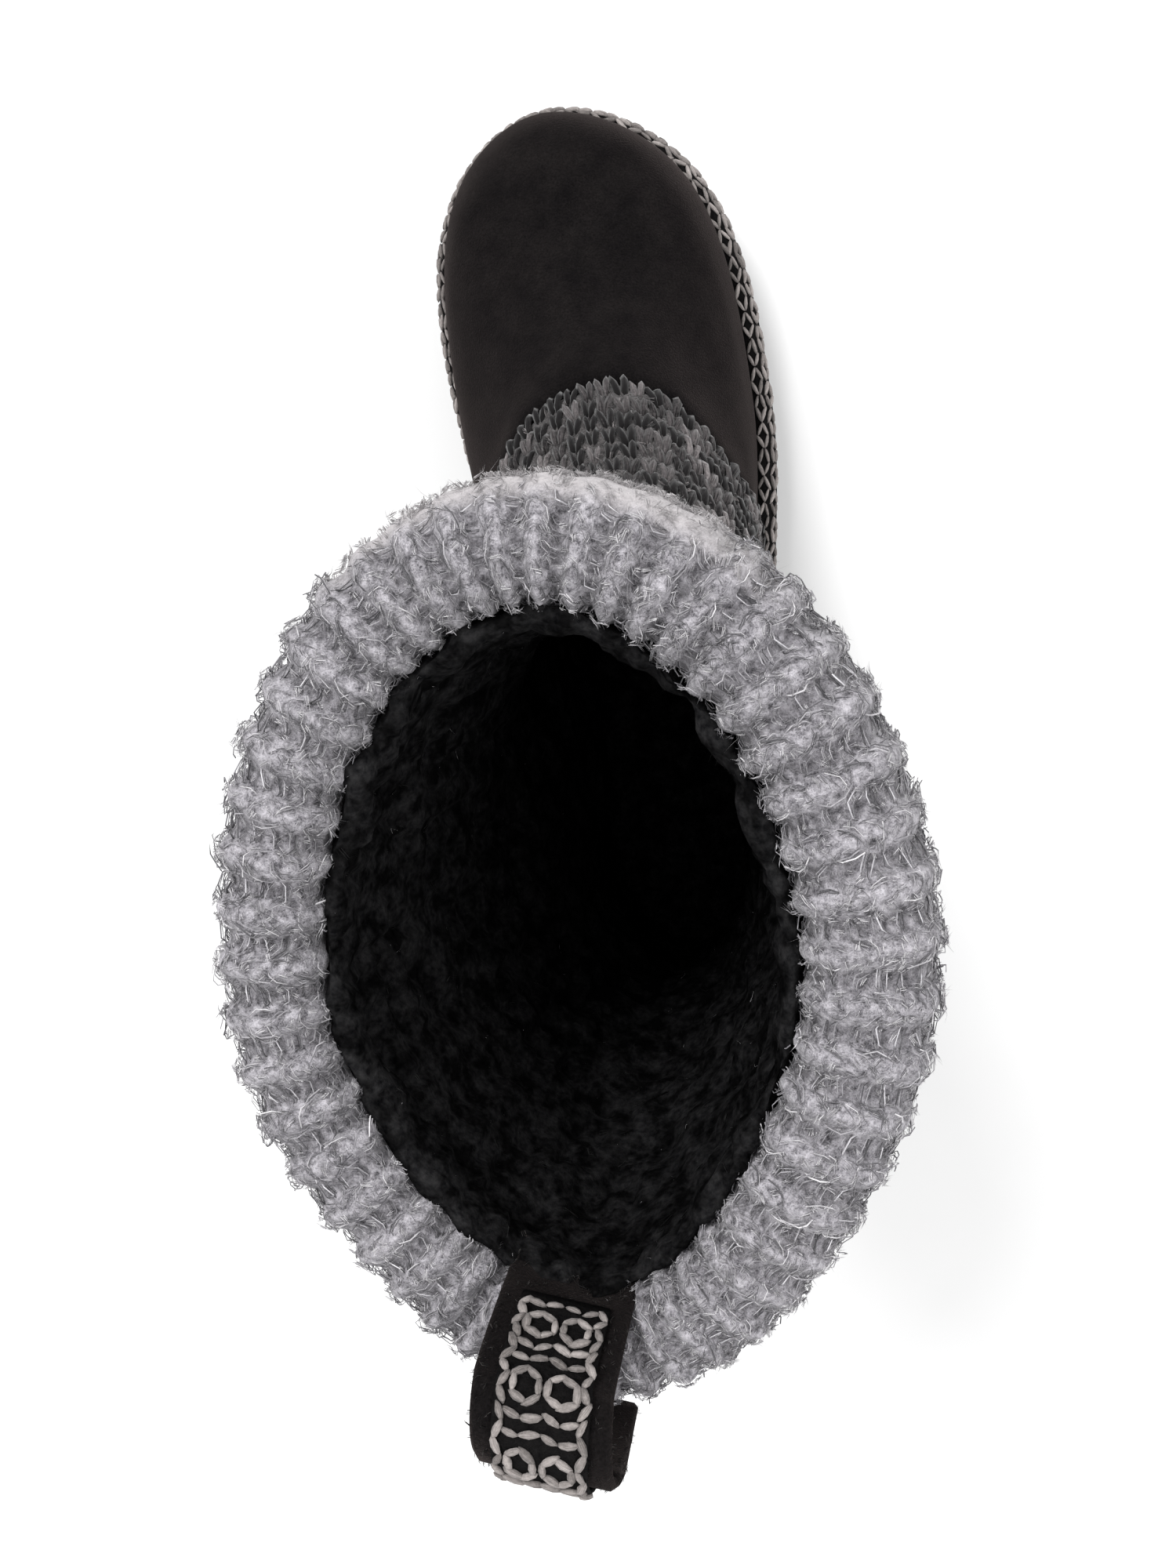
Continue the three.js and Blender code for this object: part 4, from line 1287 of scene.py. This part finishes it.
def lining_ring():
    """The fleece from the footbed up behind its wall, over the fold of the cuff and down again.

    Gives the back as it is, and the face with its lumps.
    """
    turns = FLEECE_TURNS
    seam = seam_heights(turns)
    low = low_height(INSOLE_THICKNESS)
    top = heights_below(turns, TOP, CUFF_TUCK + 1)

    def ring(share, in_suede, in_knit):
        height = mix(low, top, share)
        depth = mix(-SUEDE_WALL - in_suede, -KNIT_WALL - in_knit, smooth((height - seam) / 0.6 + 1))
        return shell_points(turns, height, depth)

    back = [ring(share, *FLEECE_BACK) for share in np.linspace(0, 1, 30)]
    wall = -(KNIT_WALL + GAP + CUFF_INNER_WALL)
    full = wall - FOLD_FULLNESS
    climb = [(CUFF_TUCK + 1, wall + 0.3), (CUFF_TUCK - 2, wall - 0.8), (6, full - 0.1), (2, full - 0.4)]
    crest = [(-0.6, full - 1.2), (-1.4, full - 2.4), (0.2, full - 4.0), (5, full - 4.2), (11, full - 2.6)]
    back += [collar_points(turns, drop, distance) for drop, distance in climb]
    face = [collar_points(turns, drop, distance) for drop, distance in crest]
    face += [ring(share, *FLEECE_FACE) for share in np.linspace(1, 0, 60)]
    face = np.stack(face, axis=1)
    return np.stack(back, axis=1), face + grid_normals(face) * curls(face)[..., None]


def make_lining(finishes):
    """Curly fleece with its tufts, and stray hairs of the cuff's yarn."""
    back, face = lining_ring()
    lining = ring_piece("fleece_lining", np.concatenate([back, face], axis=1), finishes["fleece"])
    tufts = locks(3.2, 0.06, 8, gleam=0.9, rise=0.5)
    fur = strew("lining_fur", tufts, face, 1.0, 0.016, finishes["fleece_fur"], seed=15)
    single = locks(4.0, 0.022, 9, hairs=1, curl=1.4, segments=4, rise=0.5)
    strays = strew("lining_strays", single, face, 1.0, 0.0025, finishes["cuff_yarn"], seed=16)
    return [lining, fur, strays]


def curls(points):
    """Height of the fleece's soft lumps at places in space, the same each time."""
    rng = np.random.default_rng(21)
    height = np.zeros(points.shape[:-1])
    for size, depth in FLEECE_LUMPS:
        for _ in range(2):
            way = unit(rng.normal(size=3)) * 2 * math.pi / size
            bend = unit(rng.normal(size=3)) * 2 * math.pi / (size * 2.3)
            wave = (points @ way) / 2 + 1.5 * np.sin(points @ bend + rng.uniform(0, 6))
            height += (np.abs(np.sin(wave)) - MEAN_WAVE) * depth
    return height


# The sole

# The arch's ends, each its start and its length as shares of the foot's length
ARCH_BACK = (0.26, 0.12)
ARCH_FRONT = (0.43, 0.11)
NO_GROOVES = (0.3, 0.5)  # between these shares the tread is plain
CHEVRON = 0.35  # how far a groove's middle lies ahead, as a share of the grooves' pitch
BELOW_TREAD = -9


def sole_loop(distance, height_of, turns=FINE_TURNS):
    """A loop round the foot's edge, its height worked out from its way along the foot."""
    points = face_points(turns, 0) + level_normals(turns, 0) * distance
    points[..., 2] = height_of(points[..., 1])
    return points


def underside(y):
    """Height of the sole's underside: lifted under the arch and at the toe."""
    share = y / FOOT_LENGTH
    back, front = (smooth((share - start) / run) for start, run in (ARCH_BACK, ARCH_FRONT))
    return ARCH_LIFT * (back * (1 - front)) + toe_spring(y)


def under(lift):
    return lambda y: underside(y) + lift


def above(height):
    return lambda y: height + toe_spring(y)


def plate_faces(loops, size):
    """Faces of a plate from loops stacked upwards, its ends closed by strips across."""
    faces = [tuple(face) for face in grid_faces(loops, size, False, True)]
    top = (loops - 1) * size
    for i in range(size // 2):
        strip = tuple(dict.fromkeys((i, (size - i) % size, (size - i - 1) % size, i + 1)))
        faces.append(strip)
        faces.append(tuple(top + k for k in reversed(strip)))
    return faces


def groove_part(y, loop):
    """A chevron groove across the tread, inside its rim."""
    def line(x):
        return y + GROOVE_PITCH * CHEVRON * (1 - 2 * np.abs(x) / BALL_WIDTH)

    x = np.linspace(-BALL_WIDTH, BALL_WIDTH, 400)
    middle = line(x) + GROOVE_WIDTH / 2
    half = len(loop) // 2
    lateral, medial = loop[: half + 1], np.concatenate([loop[half:], loop[:1]])[::-1]
    right = np.interp(middle, lateral[:, 1], lateral[:, 0])
    left = np.interp(middle, medial[:, 1], medial[:, 0])
    inside = x[(x < right) & (x > left)]
    x = np.unique(np.append(np.linspace(inside[0], inside[-1], 9), 0.0))
    top = TREAD_DEPTH + underside(y)
    corners = [(0, BELOW_TREAD), (GROOVE_WIDTH, BELOW_TREAD), (GROOVE_WIDTH - 0.5, top), (0.5, top)]
    rows = [np.stack([x, line(x) + dy, np.full(len(x), float(z))], axis=1) for dy, z in corners]
    points = np.stack(rows, axis=1).reshape(-1, 3)
    faces = [tuple(face) for face in grid_faces(len(x), 4, False, True)]
    last = 4 * (len(x) - 1)
    return points, [*faces, (3, 2, 1, 0), tuple(last + k for k in range(4))], np.zeros((len(points), 4))


def tread_grooves():
    """All grooves as one cutter, fore and aft of the arch."""
    rim = sole_loop(SOLE_EDGE - TREAD_RIM, above(0))
    places = [GROOVE_PITCH * (number + 0.5) for number in range(FOOT_LENGTH // GROOVE_PITCH)]
    first, last = NO_GROOVES
    grooves = [groove_part(y, rim) for y in places if not first < y / FOOT_LENGTH < last]
    points, faces, _ = join_parts(grooves)
    return add_object("tread_cutter", new_mesh("tread_cutter", points + SHIFT, faces))


def make_sole(finish):
    edge, rib = SOLE_EDGE, SOLE_EDGE - SIDE_RIB_DEPTH
    side = [
        (edge - 2.0, under(0)),
        (edge - 0.9, under(0.35)),
        (edge - 0.4, under(1.2)),
        (edge, above(LEDGE_HEIGHT * 0.42)),
        (edge - 0.15, above(LEDGE_HEIGHT * 0.44)),
        (rib, above(LEDGE_HEIGHT * 0.5)),
        (rib, above(LEDGE_HEIGHT * 0.62)),
        (edge - 0.15, above(LEDGE_HEIGHT * 0.68)),
        (edge, above(LEDGE_HEIGHT * 0.7)),
        (edge, above(LEDGE_HEIGHT - 0.4)),
        (edge - 0.4, above(LEDGE_HEIGHT)),
        (0, above(LEDGE_HEIGHT)),
        (0, above(SOLE_THICKNESS)),
        (-SUEDE_WALL, above(SOLE_THICKNESS)),
    ]
    loops = np.array([sole_loop(distance, height_of) for distance, height_of in side])
    sole = add_piece("outsole_tread", loops, plate_faces(*loops.shape[:2]), finish)
    cutter = tread_grooves()
    cut = sole.modifiers.new("tread", "BOOLEAN")
    cut.object = cutter
    cut.solver = "EXACT"
    keep_result(sole)
    bpy.data.objects.remove(cutter)
    sole.data.set_sharp_from_angle(angle=math.radians(40))
    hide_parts("outsole")
    return sole


def keep_result(piece):
    """The piece's modifiers become its mesh."""
    graph = bpy.context.evaluated_depsgraph_get()
    mesh = bpy.data.meshes.new_from_object(piece.evaluated_get(graph))
    piece.modifiers.clear()
    piece.data = mesh


def make_insole(finish):
    turns = np.arange(120) * 3.0
    inset = -(SUEDE_WALL + GAP)
    top = SOLE_THICKNESS + INSOLE_THICKNESS
    side = [(0, SOLE_THICKNESS + GAP), (0, top - 1), (0.4, top - 0.3), (1.2, top)]
    loops = np.array([sole_loop(inset - roll, above(height), turns) for roll, height in side])
    insole = add_piece("insole_pad", loops, plate_faces(*loops.shape[:2]), finish)
    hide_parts("insole")
    return insole


# The braided trim

LINK_PITCH = 8
LINK_ROW = 14  # row of the band's face along which the links are counted
CHAIN_ROWS = (0.55, 0.82)  # shares of the way up the band's face
LINK_SPREAD = 0.055  # from a chain's middle to either side of it, as such a share
LINK_TURN = 0.42


def trim_profile(turns):
    """Corners of the trim round its own section, in order, each a distance out and a height."""
    bottom = LEDGE_HEIGHT + GAP
    round_it = (TRIM_TOP - bottom) / 2
    out = level_normals(turns, 0)
    feather = face_points(turns, 0)
    top = low_height(TRIM_TOP - SOLE_THICKNESS)

    def reach(height):
        return ((shell_points(turns, height, GAP) - feather) * out).sum(axis=-1)

    inner, knee = reach(top), reach(top / 2)
    corners = [
        (GAP, bottom),
        (TRIM_WIDTH - 0.6, bottom),
        (TRIM_WIDTH, bottom + round_it * 0.5),
        (TRIM_WIDTH, bottom + round_it * 1.1),
        (TRIM_WIDTH - 1.3, bottom + round_it * 1.65),
        (mix(inner, TRIM_WIDTH, 0.45), TRIM_TOP),
        (inner, TRIM_TOP - 0.6),
        (knee, mix(SOLE_THICKNESS, TRIM_TOP, 0.5)),
        (GAP, SOLE_THICKNESS),
    ]
    rows = []
    for distance, height in corners:
        points = feather + out * np.broadcast_to(distance, turns.shape)[:, None]
        points[:, 2] = height + toe_spring(points[:, 1])
        rows.append(points)
    return rows


def make_trim(finishes):
    rows = trim_profile(FINE_TURNS)
    face = spline(np.array(rows[1:7]), 24)
    profile = np.concatenate([np.array(rows[:1]), face, np.array(rows[7:])])
    trim = ring_piece("trim_band", profile.transpose(1, 0, 2), finishes["braid_ground"])
    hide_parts("braid_trim")
    ring = np.concatenate([face, face[:, :1]], axis=1)
    length = path_length(ring[LINK_ROW])[-1]
    links = round(length / LINK_PITCH)
    pitch = length / links
    spots = []
    for row, across in enumerate(CHAIN_ROWS):
        for number in range(links):
            middle = (number + 0.5 * row + 0.25) * pitch
            for side in (-1, 1):
                beside = across + side * LINK_SPREAD
                spots.append((middle - pitch * 0.23, beside, side * LINK_TURN))
                spots.append((middle + pitch * 0.23, beside, -side * LINK_TURN))
    chain = lay_petals("trim_chain", ring, spots, (1.3, pitch * 0.5, 1.3), finishes["braid_yarn"], 31)
    return [trim, chain]


def petal_part(bow):
    """One petal of braid yarn, thick in its middle and a little bowed to one side."""
    t = np.linspace(-0.5, 0.5, 5)
    path = np.stack([bow * (1 - 4 * t * t), t, 0.2 - 0.9 * t * t], axis=1)
    return tube(path, [0.16, 0.42, 0.5, 0.42, 0.16], 5)


def lay_petals(name, grid, spots, size, finish, seed):
    """Petals on a grid of points, each a way along it, a share across it and a turn on it."""
    along, across, turn = np.array(spots, float).T
    length = path_length(grid[len(grid) // 2])
    column = np.interp(along % length[-1], length, np.arange(len(length)))
    row = across * (len(grid) - 1)
    forward, sideways = unit(np.gradient(grid, axis=1)), unit(np.gradient(grid, axis=0))

    def at(values):
        i, j = np.minimum(row.astype(int), len(grid) - 2), np.minimum(column.astype(int), len(length) - 2)
        di, dj = (row - i)[:, None], (column - j)[:, None]
        near = mix(values[i, j], values[i + 1, j], di)
        far = mix(values[i, j + 1], values[i + 1, j + 1], di)
        return mix(near, far, dj)

    ahead, aside = at(forward), at(sideways)
    out = unit(np.cross(ahead, aside))
    way = ahead * np.cos(turn)[:, None] + aside * np.sin(turn)[:, None]
    parts = [petal_part(bow) for bow in (-0.12, 0.0, 0.12)]
    places = at(grid) + out * 0.1
    return set_out(name, parts, places, out, way, size, finish, spread=0.13, lean=0.16, seed=seed)


# The pull loop

LOOP_STEPS = 64
STRAP_ROUND = 0.45  # of a strap's edge, as a share of its thickness
FOOT_HUG = 4.2  # how far the strap's inner foot bends to follow the collar, and over what share of it
HUG_SHARE = 0.28
FOOT_SINK = 2.4  # how far that foot sinks into the collar's yarn, and over what share of it
SINK_SHARE = 0.25
RIBBON_THICKNESS = 0.9
RIBBON_PART = slice(6, -8)  # steps of the strap that the ribbon covers
MOTIF_PITCH = 14
RIBBON_HEM = 1.2  # millimetres at either end without petals


def loop_path_points(distance):
    """Places and outward normals along the strap, a distance outside its middle line."""
    out = level_normals(LOOP_TURN, TOP)
    along = np.cross(UP, out)
    edge = face_points(LOOP_TURN, TOP)
    clear = GAP + LOOP_STRAP / 2
    inside = -(KNIT_WALL + GAP + CUFF_INNER_WALL + clear)
    outside = KNIT_PROUD + GAP + CUFF_THICKNESS + RIB_DEPTH + 1 + clear
    foot = LOOP_TUCK - CUFF_RISE
    turns = LOOP_TURN + np.arange(-24, 25, 8.0)

    def clearance(drop, reach):
        return (collar_points(turns, drop, reach) - edge) @ out

    front = clearance(0, inside).min()
    front_foot = min(front, clearance(foot, inside).min())
    rear = clearance(0, outside).max()
    rear_foot = max(rear, clearance(foot, outside).max())
    middle = mix(front, rear, 0.4)
    top = CUFF_RISE + LOOP_HEIGHT - LOOP_TOP_RADIUS
    corners = [
        (front_foot, CUFF_RISE - LOOP_TUCK),
        (front, CUFF_RISE * 0.5),
        (mix(front, middle - LOOP_TOP_RADIUS, 0.35), mix(CUFF_RISE, top, 0.45)),
    ]
    for angle in np.linspace(0, math.pi, 9):
        corners.append((middle - LOOP_TOP_RADIUS * math.cos(angle), top + LOOP_TOP_RADIUS * math.sin(angle)))
    corners += [
        (mix(rear, middle + LOOP_TOP_RADIUS, 0.35), mix(CUFF_RISE, top, 0.45)),
        (rear, CUFF_RISE * 0.5),
        (rear_foot, CUFF_RISE - LOOP_TUCK),
    ]
    spans = len(corners) - 1
    path = spline(np.array(corners), LOOP_STEPS)
    run = unit(np.gradient(path, axis=0))
    normal = -run[:, 1:] * out + run[:, :1] * UP
    skew = LOOP_SKEW * smooth((np.linspace(0, 1, LOOP_STEPS) * spans - 2) / (spans - 3))
    places = edge + path[:, :1] * out + path[:, 1:] * UP + skew[:, None] * along
    return places + normal * distance, normal, along


def strap(places, normal, along, width, thickness, hug=0.0):
    """A soft-edged strap along a path. hug is how far its middle bends out to follow the collar."""
    half, thick = width / 2, thickness / 2
    round_it = thick * STRAP_ROUND * 2
    flat = [-half + round_it, -half * 0.5, 0, half * 0.5, half - round_it]
    shape = [(-half, -thick + round_it), *((x, -thick) for x in flat), (half, -thick + round_it)]
    shape += [(half, thick - round_it), *((x, thick) for x in reversed(flat)), (-half, thick - round_it)]
    shape = np.array(shape)
    points = places[:, None] + shape[None, :, :1] * along + shape[None, :, 1:] * normal[:, None]
    bend = 1 - (2 * shape[:, 0] / LOOP_WIDTH) ** 2
    hug = np.broadcast_to(hug, len(places))[:, None] * bend
    points = points + hug[..., None] * level_normals(LOOP_TURN, TOP)
    size = len(shape)
    faces = [tuple(face) for face in grid_faces(len(places), size, False, True)]
    last = size * (len(places) - 1)
    return points, [*faces, tuple(reversed(range(size))), tuple(last + k for k in range(size))]


def make_loop(finishes):
    places, normal, along = loop_path_points(0)
    share = np.linspace(0, 1, len(places))
    hug = FOOT_HUG * (1 - smooth(share / HUG_SHARE))
    sink = FOOT_SINK * (1 - smooth(share / SINK_SHARE))
    places -= level_normals(LOOP_TURN, TOP) * sink[:, None]
    points, faces = strap(places, normal, along, LOOP_WIDTH, LOOP_STRAP, hug)
    loop = add_piece("loop_strap", points, faces, finishes["suede"])
    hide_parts("pull_loop")
    surface = points.transpose(1, 0, 2)[::-1]
    fibres = locks(1.3, 0.045, 12, hairs=4, rise=0.7)
    nap = strew("strap_nap", fibres, surface, 1.0, 0.16, finishes["felt_nap"], seed=17)
    return [loop, nap, *make_ribbon(finishes)]


def make_ribbon(finishes):
    """The ribbon on the strap's outer face, with its petals."""
    places, normal, along = loop_path_points(LOOP_STRAP / 2 + GAP + 0.5)
    places, normal = places[RIBBON_PART], normal[RIBBON_PART]
    points, faces = strap(places, normal, along, RIBBON_WIDTH, RIBBON_THICKNESS)
    ribbon = add_piece("ribbon_ground", points, faces, finishes["braid_ground"])
    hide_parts("loop_ribbon")
    across = np.linspace(-RIBBON_WIDTH / 2, RIBBON_WIDTH / 2, 5)
    grid = (places + normal * 0.5)[None] + across[:, None, None] * along
    length = path_length(places)[-1]
    spots = []
    for number in range(round(length / MOTIF_PITCH)):
        spots += [(number * MOTIF_PITCH + way, 0.5 + aside, turn) for way, aside, turn in ribbon_motif()]
    spots = [spot for spot in spots if RIBBON_HEM < spot[0] < length - RIBBON_HEM]
    petals = lay_petals("ribbon_petals", grid, spots, (1.65, 3.4, 1.3), finishes["braid_yarn"], 33)
    return [ribbon, petals]


def ribbon_motif():
    """Petals of one repeat: a border and a ring on both sides, and two rungs across."""
    spots = []
    for side in (-1, 1):
        for step in range(5):
            spots.append((step * 2.8 + 0.6, side * 0.43, side * (0.5 if step % 2 else -0.5)))
        for step in range(6):
            angle = math.radians(60 * step + 30)
            way, aside = 9.3 + 2.7 * math.cos(angle), side * 0.19 + 0.14 * math.sin(angle)
            spots.append((way, aside, angle + math.pi / 2))
    for rung in (0.4, 3.4):
        for step in range(4):
            spots.append((rung, (step - 1.5) * 0.2, math.pi / 2 + (0.3 if step % 2 else -0.3)))
    return spots


# The boot

# Yarns and fibres: colours of their dark, light and bright strands, and how far stitches and strands differ
YARNS = {
    "fleece_fur": dict(
        dark=grey(0.003), light=grey(0.012), bright=grey(0.06), marl=0.2, gleam=0.4, sheen=0.02
    ),
    "cuff_yarn": dict(
        dark=(0.13, 0.126, 0.137), light=(0.46, 0.443, 0.475), bright=(1.0, 0.98, 1.0), marl=0.25, gleam=0.7
    ),
    # The cuff's yarn again, darker: painted shade on the bars deep in the valleys
    "shaded_valley_yarn": dict(
        dark=(0.06, 0.058, 0.064), light=(0.3, 0.289, 0.31), bright=(0.9, 0.88, 0.92), marl=0.25, gleam=0.7
    ),
    "cuff_fuzz": dict(
        dark=(0.09, 0.087, 0.095), light=(0.46, 0.443, 0.473), bright=(1.0, 0.98, 1.0), marl=0.35, gleam=0.8
    ),
    "plain_fuzz": dict(
        dark=(0.3, 0.284, 0.29), light=(0.52, 0.492, 0.502), bright=(0.88, 0.85, 0.86), marl=0.2, gleam=0.5
    ),
    "shaft_yarn": dict(
        dark=(0.012, 0.011, 0.0114), light=(0.1, 0.091, 0.092), bright=(0.34, 0.31, 0.31), marl=0.7
    ),
    "shaft_fuzz": dict(
        dark=(0.02, 0.018, 0.019), light=(0.11, 0.1, 0.1), bright=(0.34, 0.31, 0.31), marl=0.5
    ),
    "braid_yarn": dict(
        dark=(0.08, 0.072, 0.068),
        light=(0.27, 0.245, 0.235),
        bright=(0.55, 0.5, 0.48),
        gleam=0.0,
        sheen=0.1,
        streaks=4.5,
    ),
    "felt_nap": dict(dark=grey(0.005), light=(0.018, 0.0165, 0.0165), bright=(0.16, 0.15, 0.145), sheen=0.02),
}

# Bodies under the yarn: colours of their dark and light parts, and the width of their lumps
GROUNDS = {
    # The cuff body's dark stop is painted shade that shows between the stitches
    "cuff_ground": dict(
        dark=(0.07, 0.067, 0.075), light=(0.52, 0.5, 0.535), lump=1.8, plain=(0.52, 0.492, 0.502)
    ),
    "shaft_ground": dict(dark=(0.009, 0.0083, 0.0086), light=(0.1, 0.092, 0.092), lump=2.4),
    "braid_ground": dict(dark=(0.004, 0.0037, 0.004), light=(0.01, 0.0093, 0.0093), sheen=0.0),
}


def make_finishes():
    finishes = {"suede": suede_finish(), "rubber": rubber_finish(), "fleece": fleece_finish()}
    for name, look in GROUNDS.items():
        finishes[name] = knit_ground_finish(name, **look)
    for name, look in YARNS.items():
        finishes[name] = yarn_finish(name, **look)
    return finishes


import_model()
SHIFT = frame_shift()
STATIONS = station_group()
SCATTER = scatter_group()

add_camera()
add_studio()
FINISHES = make_finishes()

foot = make_foot(FINISHES["suede"])
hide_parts("upper")
pieces = [foot, *make_cuff(FINISHES), *make_shaft(FINISHES), *make_lining(FINISHES), *make_trim(FINISHES)]
pieces += [make_sole(FINISHES["rubber"]), make_insole(FINISHES["fleece"]), *make_loop(FINISHES)]
for piece in pieces:
    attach(piece, "root")
